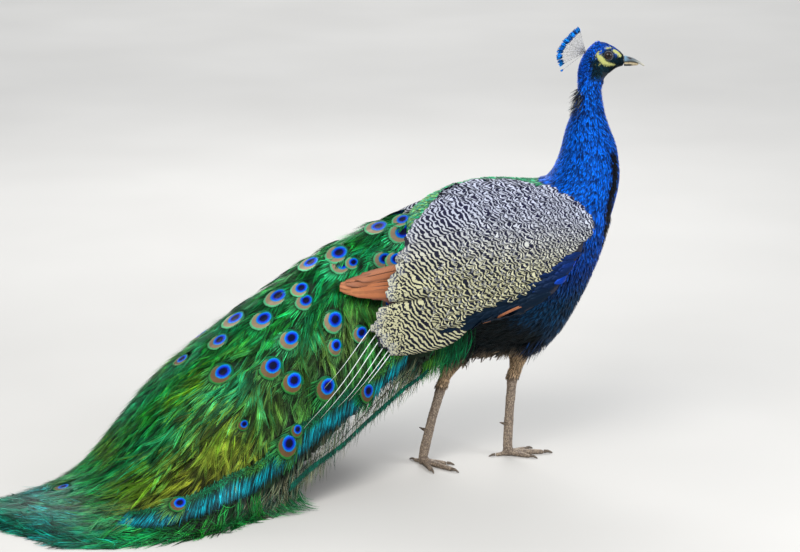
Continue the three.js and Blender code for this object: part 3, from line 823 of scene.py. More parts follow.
def on_neck(points, normals):
    run = stations(points)
    return (run >= HEAD_ENDS) & (run < NECK_ENDS) & ~under_wing(points, normals)


WING_OUTLINE = [  # x, z of the folded wing seen from the side
    (228, 470), (205, 500), (175, 520), (120, 545), (-10, 545), (-60, 515), (-112, 470), (-121, 397),
    (-151, 361), (-140, 326), (-171, 282), (-164, 248), (-127, 231), (-60, 246), (-23, 262), (28, 300),
    (106, 312), (157, 346), (206, 418), (226, 442),
]


def within(outline, x, z):
    """Whether points in the side view are inside a closed outline."""
    inside = np.zeros(len(x), bool)
    for (x0, z0), (x1, z1) in zip(outline, outline[1:] + outline[:1]):
        crosses = (z0 > z) != (z1 > z)
        inside ^= crosses & (x < (x1 - x0) * (z - z0) / np.where(z1 == z0, 1, z1 - z0) + x0)
    return inside


def under_wing(points, normals):
    x, y, z = measure(points).T
    return within(WING_OUTLINE, x, z) & (np.abs(y) > np.interp(x, (100, 140), (24, 58)))


coat("face_feathers", 0.95, on_face, 2.1, 0.42, 3, 0.1, 1.0, 0.4, neck_finish, "neck_plumage", 0.3, 1.3)
coat("crown_feathers", 1.45, on_crown, 4.6, 0.66, 4, 0.3, 2.6, 0.7, neck_finish, "neck_plumage", 0.5, 3.6)


def neck_length(roots):
    return 7 + 9 * smooth(stations(roots), 80, 260)


def neck_half(roots):
    return 1.0 + 0.9 * smooth(stations(roots), 80, 260)


coat("neck_feathers", 2.3, on_neck, neck_length, neck_half, 4, 0.5, 3.6, 0.14, neck_finish, "neck_plumage")


def on_breast(points, normals):
    x, y, z = measure(points).T
    body = (stations(points) >= NECK_ENDS) & (leg_share(points) < 0.5) & (x > -100)
    return body & (back_share(points) < 0.4) & ~under_wing(points, normals)


def on_back(points, normals):
    x, y, z = measure(points).T
    return (back_share(points) >= 0.4) & (x > -110) & ~under_wing(points, normals)


def on_thigh(points, normals):
    x, y, z = measure(points).T
    return (leg_share(points) >= 0.5) & (z > 152)


def on_belly_edge(points, normals):
    x, y, z = measure(points).T
    return (z < 246) & (z > 196) & (x > -20) & (x < 158) & (leg_share(points) < 0.6)


coat("belly_fringe", 6.5, on_belly_edge, 24, 1.5, 6, 2.0, 13.0, 0.4, breast_finish, "body_plumage")
coat("breast_feathers", 3.8, on_breast, lambda roots: 20 + 12 * smooth(measure(roots)[:, 2], 330, 230),
     2.6, 5, 1.5, 7.0, 0.18, breast_finish, "body_plumage")
coat("mantle_feathers", 5.0, on_back, 17, 5.0, 6, 1.0, 3.5, 0.1, mantle_finish, "body_plumage")
coat("thigh_feathers", 1.9, on_thigh, lambda roots: 7 + 8 * smooth(measure(roots)[:, 2], 170, 230),
     0.9, 4, 0.4, 3.0, 0.25, thigh_finish, "thigh_plumage")

# %% [markdown]
# The breast ends in a loose point between the legs, and the nape in a small ruffle. Feathers laid along
# the skin can't stand away from it, so these are straight lines with a spread of directions and a sag.
# %% Loose tufts at the breast's tip and on the nape
TUFT_ROWS = 6
TUFT_SAG = 2.0 * MM


def tuft(name, spacing, keep, way, spread, reach, half, finish, slot, dye):
    """Feathers that stand off the skin in one direction, with ragged ends."""
    roots, normals = skin_form.scatter(spacing * MM, keep)
    count = len(roots)
    ways = unit(np.array(way) + rng.normal(0, spread, (count, 3)))
    steps = np.linspace(0, 1, TUFT_ROWS)
    reach = rng.uniform(*reach, (count, 1, 1))
    lines = roots[:, None] + ways[:, None] * steps[:, None] * reach * MM
    lines[..., 2] -= TUFT_SAG * steps ** 2
    ups = np.repeat(normals[:, None], TUFT_ROWS, 1)
    return sheets(name, lines, ups, half * MM, LEAF, finish, slot, 3, 0.3, body_unwrap(roots),
                  dye=dye(count), tint=rng.random(count))


def on_breast_tip(points, normals):
    x, y, z = measure(points).T
    return (x > 118) & (x < 170) & (z < 266) & (np.abs(y) < 44) & (leg_share(points) < 0.5)


def on_nape(points, normals):
    x, y, z = measure(points).T
    return (z > 662) & (z < 698) & (x < 214) & (normals[:, 0] < -0.2)


def breast_tip_dye(count):
    return blended(rng.random(count) ** 2, srgb(4, 10, 22), srgb(0, 56, 110))


def nape_dye(count):
    return blended(rng.random(count) < 0.25, srgb(2, 12, 40), srgb(130, 140, 140))


tuft("breast_tip", 4.2, on_breast_tip, (-0.62, 0, -0.78), 0.13, (20, 44), 1.4, breast_finish, "body_plumage",
     breast_tip_dye)
tuft("nape_tuft", 2.2, on_nape, (-0.6, 0, -0.8), 0.25, (10, 24), 0.55, breast_finish, "neck_plumage",
     nape_dye)

# %% [markdown]
# ## The folded wings
# A peacock's folded wing is a stack of broad barred feathers. The small ones of the shoulder overlap the
# long ones behind, and under them show the dark blue coverts and the chestnut tips of the primaries.
# The bars follow each feather's rounded end, so they are drawn from how far a point is along its
# own feather, and noise bends and breaks them as in life.
#
# The feathers lie on a smooth copy of a wing's solids joined with the trunk's. The left wing hangs a
# little, so that its upper edge shows over the back: its form is lowered there by `sag`, and whatever is
# laid on it follows.
# %% A form to lay the wing on
SIDE_SIGN = {"right": RIGHT, "left": LEFT}
WING_NODES = {side: nodes_of("wing_" + side) for side in SIDE_SIGN}
TRUNK_NODES = ["breast", "trunk", "rump", "neck_lower"]
SET_BACK = {"right": 0, "left": -10}  # of the long feathers' places in x
# Places in x, and how much the left wing hangs there.
FAR_SAG = ((-140, -124, -65, -20, 28, 120, 170), (36, 34, 27, 17, 10, 8, 0))
# Places in x, and how far from the plane of symmetry the top edges of the wings are there.
WING_TOP_EDGE = ((-113, -60, -25, 33, 120, 170, 200, 226), (74, 54, 38, 24, 30, 56, 64, 60))


def sag(x, y, z):
    """How far below its solid the top of the left wing lies."""
    return np.interp(x, *FAR_SAG) * smooth(y, 5, 50) * smooth(z, 330, 430)


def sagged(mesh):
    points = vertex_array(mesh)
    points[:, 2] -= sag(*measure(points).T) * MM
    return moved(mesh, points)


wing_forms = {}
for side, nodes in WING_NODES.items():
    wing_mesh = remeshed("wing_form_" + side, joined(nodes + TRUNK_NODES), 3.2 * MM, 6)
    wing_forms[side] = Form(sagged(wing_mesh))


def on_wing_side(side, outline):
    """A test for scatter: points of one wing's outer face that the outline encloses in the side view."""
    def keep(points, normals):
        x, y, z = measure(points).T
        z = z + sag(x, y, z)
        edge = np.where(z > 440, np.interp(x, *WING_TOP_EDGE), 16)
        faces_out = normals[:, 1] * SIDE_SIGN[side] + 0.6 * normals[:, 2] > 0.1
        return (y * SIDE_SIGN[side] > edge) & faces_out & within(outline, x, z)
    return keep


WELL_OUTSIDE = 400  # distances from the plane of symmetry
NEAR_WING_FACE = 112
ON_WING = 60


def side_lines(side, knots, rows, lift):
    """Lines given as x, z knots in the side view, laid on a wing's outer face.

    Where a line runs past the wing's outline, it keeps the last depth that was found."""
    tree = wing_forms[side].tree
    sign = SIDE_SIGN[side]
    places = np.linspace(0, len(knots[0]) - 1, rows)
    lines, ups = [], []
    for line, height in zip(knots, lift):
        found = []
        last = None
        for (x, z), share in zip(row_at(line, places), np.linspace(0, 1, rows)):
            z = z - sag(x, sign * ON_WING, z)
            start = Vector(place((x, sign * WELL_OUTSIDE, z)))
            point, normal = tree.ray_cast(start, Vector((0, -sign, 0)))[:2]
            if point is None and last:
                point, normal = last
            elif point is None:
                point, normal = tree.find_nearest(Vector(place((x, sign * NEAR_WING_FACE, z))))[:2]
            point = Vector((start.x, point.y, start.z))
            last = (point, normal)
            found.append((point + normal * height * MM * (0.15 + 0.85 * share), normal))
        lines.append([p for p, _ in found])
        ups.append([n for _, n in found])
    lines = np.array(lines)
    for _ in range(2):
        lines[:, 1:-1] = (lines[:, :-2] + 2 * lines[:, 1:-1] + lines[:, 2:]) / 4
    return lines, unit(np.array(ups))


def side_unwrap(points):
    """Places on a flattened wing: the side view, with the left wing beside the right one."""
    x, y, z = measure(points).T
    beside = np.where(y > 0, 0.5, 0)
    return np.stack([0.02 + 0.46 * (x + 240) / 480 + beside, 0.02 + 0.96 * (z - 190) / 370], 1)


def rear_first(form, spacing, keep):
    """Scattered roots in order from the rear, as the front feathers lie over the hind ones."""
    roots, _ = form.scatter(spacing * MM, keep)
    return roots[np.argsort(measure(roots)[:, 0])]


# %% The barred finish
BAR_CREAM = srgb(196, 194, 156)
BAR_PALE = srgb(184, 190, 208)
BAR_NAVY = srgb(8, 14, 34)
BAR_VIOLET = srgb(16, 16, 50)
barred = Finish("barred_feathers", roughness=0.62, metallic=0.0, specular_ior_level=0.2)
across = barred.attribute("across")
wave = barred.noise(70, 1.0) * 1.8 + barred.noise(210, 1.0) * 0.5
phase = barred.attribute("bars") + across * across * 0.75 + barred.attribute("tint") * 0.4 + wave
stripe = (phase * (2 * np.pi)).sine() + barred.noise(360, 1.0) * 1.2 - 0.6
hind_from, hind_to = [float(place((x, 0, 0))[0]) for x in (-86, -140)]  # speckles take over from bars
hind = barred.position().part(0).step(hind_from, hind_to) * 0.75
speckle = (barred.noise(330, 1.0) - 0.5) * 9.0 + 0.4
stripe = stripe * (1.0 - hind) + speckle * hind
light_bar = stripe.step(0.0, 0.4)
height = barred.position().part(2).step(0.36, 0.5)
cream = barred.mix(height, BAR_CREAM, BAR_PALE)
navy = barred.mix(height, BAR_NAVY, BAR_VIOLET)
bar_colour = barred.mix(light_bar, navy, cream)
soften = barred.attribute("along").step(0.88, 1.0) * 0.3
bar_colour = barred.mix(soften, bar_colour, BAR_PALE)
barb_lines = ((barred.attribute("run") + barred.attribute("across").size() * 9) * 7.5).sine()
barred.bump(barb_lines * 0.3 + light_bar, 0.0003, 0.5)
# Painted shade: each barred feather is darker along its edges, where it overlaps the next, so the stack
# shows.
vane_edge_shade = 1.0 - barred.attribute("across").size().step(0.7, 1.0) * 0.5
bar_shade = (0.72 + barred.attribute("tint") * 0.4) * vane_edge_shade
barred_finish = barred.feed(base_color=barred.scaled(bar_colour, bar_shade))

# %% Barred feathers, from the hind ones to the shoulder
BARRED_OUTLINE = [  # x, z of the barred part of the wing
    (229, 452), (222, 478), (205, 500), (175, 520), (120, 540), (-10, 532), (-44, 508), (-69, 494),
    (-98, 464), (-118, 430), (-121, 397), (-130, 370), (-120, 320), (-140, 300), (-150, 262),
    (-120, 238), (-72, 246), (-23, 277), (28, 315), (84, 334), (122, 350), (142, 378), (186, 416),
    (213, 440),
]
LOBES = [  # long feathers in three groups, the lowest first: root, middle and tip as x, z, half width, lift
    (((2, 302), (-40, 266), (-142, 246)), 16, 5.0), (((26, 326), (-45, 288), (-156, 262)), 17, 5.6),
    (((56, 358), (-48, 306), (-168, 284)), 18, 6.3), (((60, 378), (-45, 324), (-162, 308)), 17, 7.0),
    (((60, 412), (-40, 370), (-146, 346)), 17, 8.6), (((60, 428), (-40, 392), (-142, 366)), 18, 9.8),
    (((60, 446), (-35, 416), (-128, 390)), 18, 11.0), (((60, 462), (-30, 438), (-118, 412)), 17, 12.2),
    (((60, 490), (-25, 470), (-106, 440)), 15, 14.0), (((60, 502), (-20, 483), (-94, 457)), 14, 12.0),
    (((60, 511), (-15, 495), (-80, 472)), 12, 9.5),
]
BARRED_ROWS = [  # name, x from and to, spacing, length, half width, rise
    ("rear", -30, 64, 11.0, 54, 11.5, 6.0),
    ("middle", 40, 140, 8.5, 38, 9.0, 5.0),
    ("shoulder", 125, 226, 6.0, 20, 6.0, 3.2),
]
FEATHER_ROWS = 14
LONG_LEAF = (0.6, 0.9, 1.0, 1.0, 0.98, 0.92, 0.78, 0.35)
BAR_PERIOD = 7.6


def bar_count(points):
    """How many bars lie between a line through the origin and each point: they run down and forwards."""
    x, _, z = np.moveaxis(measure(points), -1, 0)
    toward = -(0.72 * x + 0.69 * z) / BAR_PERIOD
    return toward - np.clip(x - 90, 0, None) ** 2 / 5200 + np.clip(-90 - x, 0, None) ** 2 / 6500


def wing_lie(points):
    """The way that wing feathers lie: back, and down by a slope that grows towards the rear."""
    x, y, z = measure(points).T
    slope = 0.25 + 0.12 * smooth(x, 60, -120) + 0.15 * smooth(x, 150, 210) * smooth(z, 420, 500)
    return unit(np.stack([-np.ones(len(x)), np.zeros(len(x)), -slope], 1))


def barred_vanes(name, lines, ups, half, shape, columns, cup, roots, patch, tint):
    return sheets(name, lines, ups, half * MM, shape, barred_finish, "barred_plumage", columns, cup,
                  side_unwrap(roots), patch, bars=bar_count, tint=tint)


def barred_part(side, x_from, x_to):
    inside = on_wing_side(side, BARRED_OUTLINE)

    def keep(points, normals):
        x = measure(points)[:, 0]
        return inside(points, normals) & (x > x_from) & (x < x_to)
    return keep


for side, form in wing_forms.items():
    knots, halves, lifts = [], [], []
    for line, half, lift in LOBES:
        for copy in (-0.5, 0.0, 0.5):
            shift = np.array([[0, 0], [0, 0.4 * half * copy], [9 * abs(copy), 0.8 * half * copy]])
            knots.append(np.array(line, float) + shift + (SET_BACK[side], 0))
            halves.append(half)
            lifts.append((lift + copy) * (1.0 if side == "right" else 0.5))
    lines, ups = side_lines(side, knots, FEATHER_ROWS, lifts)
    barred_vanes("wing_lobes_" + side, lines, ups, np.array(halves), LONG_LEAF, 9, 0.28,
                 lines[:, FEATHER_ROWS // 2], 0.03, rng.random(len(knots)) * 0.5 + 0.25)
    for label, x_from, x_to, spacing, length, half, rise in BARRED_ROWS:
        roots = rear_first(form, spacing, barred_part(side, x_from, x_to))
        x, _, z = measure(roots).T
        size = rng.uniform(0.85, 1.15, len(roots)) * (0.62 + 0.38 * smooth(z - 0.42 * x, 300, 335))
        lines, ups = trace(form, roots, wing_lie, size * length * MM, 8, 1.0 * MM, rise * MM, 0.07)
        barred_vanes(f"wing_{label}_{side}", lines, ups, size * half, LEAF, 5, 0.2, roots, 0.012,
                     rng.random(len(roots)))

# %% [markdown]
# From the right, a strip of the left wing's barred edge shows over the back. It is laid as three long
# overlapping vanes along a line in space, because the form has no face that looks this way there.
# %% The left wing's edge
FAR_STRIP = ((-30, 62, 488), (-74, 66, 476), (-114, 68, 458), (-152, 70, 437))
FAR_STRIP_UP = (0.2, -0.5, 0.85)
FAR_STRIP_STEP = (0, 5, -4)  # from each vane to the next

strip = np.array(FAR_STRIP) + np.array(FAR_STRIP_STEP) * np.arange(3)[:, None, None]
strip = np.stack([row_at(line, np.linspace(0, 3, FEATHER_ROWS)) for line in strip])
ups = np.tile(unit(np.array(FAR_STRIP_UP)), (3, FEATHER_ROWS, 1))
barred_vanes("wing_edge_left", place(strip), ups, 7, LONG_LEAF, 9, 0.2, place(strip[:, FEATHER_ROWS // 2]),
             0.03, rng.random(3))

# %% [markdown]
# Under the barred feathers come the coverts, dark blue with a rare bright glint, and out at the back the
# closed primaries, a stack of long plain vanes. Two slim edges of the same chestnut show in front of them.
# %% Primaries and coverts
quill = Finish("chestnut_primaries", roughness=0.5)
vein = (quill.attribute("run") * 1.2 + quill.attribute("across").size() * 14).sine() * 0.5 + 0.5
brown = quill.mix(quill.attribute("across").size().step(0.6, 1.0), srgb(160, 94, 54), srgb(126, 72, 42))
brown = quill.mix(quill.noise(30, 3).step(0.5, 0.7) * 0.5, brown, srgb(186, 122, 74))
brown = quill.mix(quill.attribute("across").size().step(0.1, 0.0), brown, srgb(88, 52, 38))
quill.bump(vein + quill.attribute("across").size().step(0.12, 0.0) * 4, 0.0003)
quill_finish = quill.feed(base_color=quill.scaled(brown, 0.8 + quill.attribute("tint") * 0.35))
blue = Finish("covert_feathers", roughness=0.36, metallic=0.5, specular_ior_level=0.2)
blue_rib = ((blue.attribute("run") + blue.attribute("across").size() * 7) * 3.0).sine()
blue.bump(blue_rib, 0.0002, 0.5)
glint = blue.attribute("tint") ** 36
covert_colour = blue.mix(glint, blue.attribute("dye", "Color"), srgb(0, 70, 214))
blue_finish = blue.feed(base_color=blue.scaled(covert_colour, 0.5 + glint * 1.4))
PRIMARIES = [  # root, middle and tip as x, z, half width
    ((-105, 356), (-150, 350), (-210, 351), 12), ((-105, 362), (-150, 355), (-222, 354), 13),
    ((-105, 368), (-150, 361), (-227, 357), 13), ((-105, 374), (-150, 368), (-225, 361), 13),
    ((-105, 382), (-150, 376), (-216, 365), 12), ((-105, 390), (-145, 384), (-200, 371), 11),
]
PRIMARY_LEAF = (0.9, 1.0, 1.0, 1.0, 0.98, 0.94, 0.84, 0.45)
COVERT_BAND = [  # x, z of the dark blue band under the barred feathers
    (216, 436), (184, 410), (146, 376), (124, 350), (84, 334), (20, 318), (-4, 300), (2, 280),
    (28, 293), (106, 305), (160, 340), (208, 414),
]
SECONDARY_EDGES = [  # x, z of two slim chestnut edges in it
    ((112, 328), (70, 312), (26, 291)),
    ((100, 323), (60, 307), (30, 291)),
]
for side, form in wing_forms.items():
    knots = [np.array(line[:3], float) + (SET_BACK[side], 0) for line in PRIMARIES]
    halves = np.array([line[3] for line in PRIMARIES])
    lines, ups = side_lines(side, knots, FEATHER_ROWS, 0.8 + 0.5 * np.arange(len(knots)))
    sheets("primaries_" + side, lines, ups, halves * MM, PRIMARY_LEAF, quill_finish, "brown_plumage", 9, 0.1,
           side_unwrap(lines[:, 6]), 0.03, tint=rng.random(len(knots)))
    lines, ups = side_lines(side, SECONDARY_EDGES, 8, [9.5, 9.0])
    sheets("secondary_edge_" + side, lines, ups, 2.4 * MM, LONG_LEAF, quill_finish, "brown_plumage", 3, 0.2,
           side_unwrap(lines[:, 4]), 0.02, tint=rng.random(2))
    roots = rear_first(form, 9.0, on_wing_side(side, COVERT_BAND))
    x, _, z = measure(roots).T
    front = smooth(x, 90, 190)
    lines, ups = trace(form, roots, wing_lie, (60 - 32 * front) * MM, 8, 0.5 * MM, 3.0 * MM, 0.05)
    dye = blended(front * smooth(z, 330, 420), srgb(0, 36, 62), srgb(0, 50, 124))
    tint = rng.random(len(roots)) * (0.5 + 0.5 * (x > 150))
    sheets("coverts_" + side, lines, ups, (9 - 3 * front) * MM, LEAF, blue_finish, "teal_plumage", 5, 0.25,
           side_unwrap(roots), 0.012, dye=dye, tint=tint)

# %% [markdown]
# The wing itself is a smooth core that stands in for its solids. It is painted dark, as the shade that
# fills the gaps between feathers where it is seen, and it takes the colour of whatever lies over it.
# %% The wing under its feathers
base_finish = Finish("feather_base", roughness=0.8)
base_grain = base_finish.noise(300, 3)
base_finish.bump(base_grain, 0.001)
base_finish.feed(base_color=base_finish.scaled(base_finish.attribute("dye", "Color"), 0.5 + base_grain * 0.6))


def base_depth(points):
    """How far the wing's core lies inside its feathers: most at its hind end."""
    return (2.4 + 3.4 * smooth(measure(points)[:, 0], -90, -130)) * MM


for side, nodes in WING_NODES.items():
    mesh = sagged(shrunk(remeshed("wing_base_" + side, joined(nodes), 4.0 * MM, 3), base_depth))
    points = vertex_array(mesh)
    x, y, z = measure(points).T
    under_primaries = smooth(x, -90, -130) * smooth(z, 400, 390) * smooth(z, 325, 340)
    # Painted shade: a dark slate where the core shows between feathers, and chestnut under the primaries.
    colours = blended(under_primaries, srgb(30, 32, 52), srgb(130, 76, 50))
    on_top = (np.abs(y) < np.interp(x, *WING_TOP_EDGE)) & (z + sag(x, y, z) > 440)
    paint(mesh, blended(on_top, colours, MANTLE_GREEN), side_unwrap(points))
    wing_base = dress(bpy.data.objects.new("wing_base_" + side, mesh), base_finish.material, "barred_plumage")
    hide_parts(*nodes)

# %% [markdown]
# Between the folded wings the back is a saddle of small green scales. The hollow there is bridged by a thin
# sheet, which is also the form that the scales are laid on.
# %% The saddle between the wings
# Places in x, and the height of the midline there.
MANTLE_TOP = ((-105, -99, -92, -65, -30, 11, 60), (459, 470, 479, 500, 517, 528, 533))
MANTLE_DROP = 11  # how much lower its sides are
MANTLE_REACH = 1.06  # past the wings' top edges

x, share = np.meshgrid(np.linspace(-105, 60, 34), np.linspace(-MANTLE_REACH, MANTLE_REACH, 15), indexing="ij")
y = share * np.interp(x, *WING_TOP_EDGE)
z = np.interp(x, *MANTLE_TOP) - MANTLE_DROP * share ** 2
saddle = place(np.stack([x, y, z - sag(x, y, z)], -1))
corner = np.arange(x.size).reshape(x.shape)
quads = np.stack([corner[:-1, :-1], corner[1:, :-1], corner[1:, 1:], corner[:-1, 1:]], -1).reshape(-1, 4)
saddle_mesh = bpy.data.meshes.new("mantle_saddle")
saddle_mesh.from_pydata(saddle.reshape(-1, 3).tolist(), [], quads.tolist())
saddle_form = Form(saddle_mesh)
# Painted shade: the sheet is the back's green darkened, as the shade between the scales laid on it.
paint(saddle_mesh, np.tile(MANTLE_GREEN, (x.size, 1)) * 0.3, side_unwrap(saddle_form.points))
dress(bpy.data.objects.new("mantle_saddle", saddle_mesh), base_finish.material, "body_plumage")


def lay_mantle_scales(name, form, keep):
    """Small green scales with lime tips towards the rear."""
    roots = rear_first(form, 4.8, keep)
    count = len(roots)
    lengths = rng.uniform(12, 18, count) * MM
    lines, ups = trace(form, roots, wing_lie, lengths, 6, 0.8 * MM, 3.0 * MM, 0.08)
    rear = smooth(measure(roots)[:, 0], 40, -50)
    base = blended(rng.random(count) * 0.6 * rear, MANTLE_GREEN, srgb(0, 176, 140))
    tips = blended(rear * (rng.random(count) < 0.4), base, MANTLE_LIME)
    dye = blended(np.linspace(0, 1, 6)[None, :] ** 3, base[:, None], tips[:, None])
    sheets(name, lines, ups, 4.6 * MM, LEAF, mantle_finish, "body_plumage", 5, 0.3, side_unwrap(roots),
           0.008, dye=dye, tint=rng.uniform(0.2, 1, count))


def anywhere(points, normals):
    return np.ones(len(points), bool)


def on_mantle_front(points, normals):
    x, y, z = measure(points).T
    between_wings = np.abs(y) < np.interp(x, *WING_TOP_EDGE) + 5
    return between_wings & (z > 490) & (x > 40) & (x < 205) & (z + 0.48 * (x - 114) < 541)


lay_mantle_scales("mantle_scales_rear", saddle_form, anywhere)
lay_mantle_scales("mantle_scales_front", wing_forms["right"], on_mantle_front)

# %% [markdown]
# Under each wing's lower edge hang loose green barbs, the first feathers of the train. They fall free of
# any surface, so each is a line from a place along that edge, bent by a part of a sine.
# %% Green barbs under the wings
FLANK_BARBS = 1300  # on each side
FLANK_ROWS = 6
WING_LOW_EDGE = ((-127, -60, -23, 28), (231, 246, 262, 300))  # places in x, and the edge's height there
LIME_AT = -58  # x of the middle of a brighter tuft
LIME_HALF_WIDTH = 16

for side, sign in SIDE_SIGN.items():
    x = rng.uniform(-122, 4, FLANK_BARBS)
    edge = np.interp(x, *WING_LOW_EDGE) + rng.uniform(2, 20, FLANK_BARBS)
    start = np.stack([x, sign * rng.uniform(62, 82, FLANK_BARBS), edge], 1)
    down = np.stack([rng.normal(-16, 7, FLANK_BARBS), sign * rng.uniform(0, 10, FLANK_BARBS),
                     -rng.uniform(45, 84, FLANK_BARBS)], 1)
    steps = np.linspace(0, 1, FLANK_ROWS)[None, :, None]
    bend = np.array([-10, 0, 0]) * np.sin(steps * 3) * rng.normal(0, 0.6, (FLANK_BARBS, 1, 1))
    lines = place(start[:, None] + down[:, None] * steps + bend)
    lime = np.exp(-((x - LIME_AT) / LIME_HALF_WIDTH) ** 2) * rng.random(FLANK_BARBS)
    green = blended(rng.random(FLANK_BARBS), srgb(0, 66, 44), srgb(0, 118, 64))
    dye = blended(lime, green, srgb(90, 150, 14))
    ups = np.tile([0, float(sign), 0.0], (FLANK_BARBS, FLANK_ROWS, 1))
    sheets("flank_barbs_" + side, lines, ups, 0.6 * MM, BARB, mantle_finish, "train_plumage", 2, 0,
           side_unwrap(place(start)), dye=dye, tint=rng.random(FLANK_BARBS))

# %% [markdown]
# ## The train
# The train is not the tail: it is some 150 long feathers of the lower back, which lie over the stiff tail
# and trail on the ground. Each has a shaft, loose barbs that hang apart like hair, and near its end an
# eye. The surface that they drape over is a table of cross-sections, so a point on it has two
# numbers: its place along the train, and how far across it is, from -1 on the far side over 0 on the
# ridge to 1 at the near edge. Paths are worked out in those two numbers, then lifted off the surface.
#
# The feathers settle a little below the measured ridge and cover less of its far side, so there are two
# tables: the measured one, and the draped one that everything is laid on.
# %% The surface of the train
TRAIN = [  # ridge x, y, z, near edge x, y, z, and the width of the far side
    (-106, 0, 470, -34, -84, 216, 84), (-150, -8, 451, -67, -94, 173, 92),
    (-203, -28, 431, -120, -99, 146, 102), (-262, -52, 402, -173, -134, 112, 126),
    (-335, -80, 360, -226, -205, 76, 165), (-405, -110, 317, -277, -256, 40, 200),
    (-475, -140, 271, -322, -306, 4, 225), (-545, -170, 219, -378, -345, -6, 228),
    (-606, -194, 152, -434, -404, -6, 200), (-655, -210, 91, -520, -452, -6, 160),
    (-700, -228, 46, -612, -474, -6, 112), (-752, -258, 27, -690, -458, -6, 85),
    (-812, -294, 18, -770, -402, -6, 60), (-872, -330, 11, -842, -356, -6, 32),
]
TRAIN_ENDS = len(TRAIN) - 1
# At each row, how far below the solids' ridge the feathers lie, and how much of their far side they cover.
SETTLE = (0, 0, 0, 0, 2, 6, 10, 14, 16, 14, 8, 4, 2, 0)
FAR_SHARE = (1, 1, 1, 1, 1, 1, 0.95, 0.9, 0.85, 0.72, 0.6, 0.55, 0.5, 0.5)
DRAPED = np.array(TRAIN, float)
DRAPED[:, 2] -= SETTLE
DRAPED[:, 6] *= FAR_SHARE
DRAPED[12:, 3:5] = ((-775, -395), (-850, -335))
HEADING = np.array([-0.928, -0.373, 0.0])  # the way the train trails
NEARWARD = np.array([0.373, -0.928, 0.0])  # square to it, to the bird's right
ROOF = 1.25  # how sharp the ridge is on the near side
FAR_ROOF = 2.0  # and on the far side
EDGE = 0.94  # past this share across, a barb hangs free
FLOOR_GAP = 1.5 * MM


def train_point(places, across, table=DRAPED, far_roof=FAR_ROOF):
    """Points in the scene at places along the train and shares across it."""
    rows = row_at(table, np.clip(places, -0.4, TRAIN_ENDS))
    reach = rows[..., 3:5] - rows[..., 0:2]
    sideways = np.where(across > 0, reach @ NEARWARD[:2], -rows[..., 6])
    share = np.sin(np.abs(across) * np.pi / 2)
    fall = np.cos(np.clip(np.abs(across), 0, 1) * np.pi / 2) ** np.where(across < 0, far_roof, ROOF)
    flat = rows[..., 0:2] + np.multiply.outer(sideways * share, NEARWARD[:2])
    flat = flat + np.multiply.outer(reach @ HEADING[:2] * share ** 2, HEADING[:2])
    height = rows[..., 5] + (rows[..., 2] - rows[..., 5]) * fall
    return place(np.concatenate([flat, height[..., None]], -1))


def train_frame(places, across):
    """How the surface runs along and across at each place, for one unit of each, and which way is out."""
    nudge = 0.03
    inner = np.clip(across, -EDGE, EDGE)
    along = (train_point(places + nudge, inner) - train_point(places - nudge, inner)) / (2 * nudge)
    sideways = (train_point(places, inner + nudge) - train_point(places, inner - nudge)) / (2 * nudge)
    up = unit(np.cross(along, sideways))
    outward = np.multiply.outer(np.sign(across), NEARWARD) * 0.6 + np.array([0, 0, 1.0])
    up = up * np.sign((up * outward).sum(-1, keepdims=True))
    return along, sideways, up


def train_trace(places, across, lie, lengths, steps, lift, rise, curl=0.0):
    """Lines laid over the train from each place, and the way out along them. Past the edge they hang free."""
    count = len(places)
    p, v = np.array(places, float), np.array(across, float)
    lengths, lift, rise, curl = [np.broadcast_to(a, count)[:, None] for a in (lengths, lift, rise, curl)]
    free = np.zeros(count, bool)
    here = train_point(p, v)
    lines, ups = [], []
    for step in range(steps):
        share = step / (steps - 1)
        along, sideways, up = train_frame(p, v)
        line = here + up * (lift + rise * share)
        line[:, 2] = np.maximum(line[:, 2], FLOOR_GAP)
        lines.append(line)
        ups.append(up)
        way = flattened(lie(p, v, along, up), up)
        way = unit(way + np.cross(up, way) * curl * share) * lengths / (steps - 1)
        # The same step in places and shares, from two equations in two unknowns.
        aa, ab, bb = (along * along).sum(1), (along * sideways).sum(1), (sideways * sideways).sum(1)
        one, two = (along * way).sum(1), (sideways * way).sum(1)
        det = np.where(free, 1, aa * bb - ab ** 2)
        p = p + np.where(free, 0, (one * bb - two * ab) / det)
        v = v + np.where(free, 0, (two * aa - one * ab) / det)
        free |= (np.abs(v) > EDGE) | (p > TRAIN_ENDS)
        v = np.clip(v, -EDGE, EDGE)
        hanging = unit(way + np.array([0, 0, -0.4]) * lengths / (steps - 1)) * lengths / (steps - 1)
        here = np.where(free[:, None], here + hanging, train_point(p, v))
    return np.stack(lines, 1), unit(np.stack(ups, 1))


def train_unwrap(places, across):
    """Places on an unwrap of the train: across it, and along it."""
    return np.stack([0.01 + 0.98 * (np.clip(across, -1, 1) + 1) / 2,
                     0.01 + 0.98 * np.clip(places, 0, TRAIN_ENDS) / TRAIN_ENDS], -1)


def train_lie(droop, lean=0.0):
    """A way for barbs: along the train, drooping by a share, and leaning towards its near or far side."""
    def lie(p, v, along, up):
        heading = unit(along)
        side = unit(np.cross(up, heading))
        share = np.broadcast_to(droop, len(p))[:, None]
        turn = np.broadcast_to(lean, len(p))[:, None]
        return heading * (1 - share) + side * turn + np.array([0, 0, -1.0]) * share
    return lie


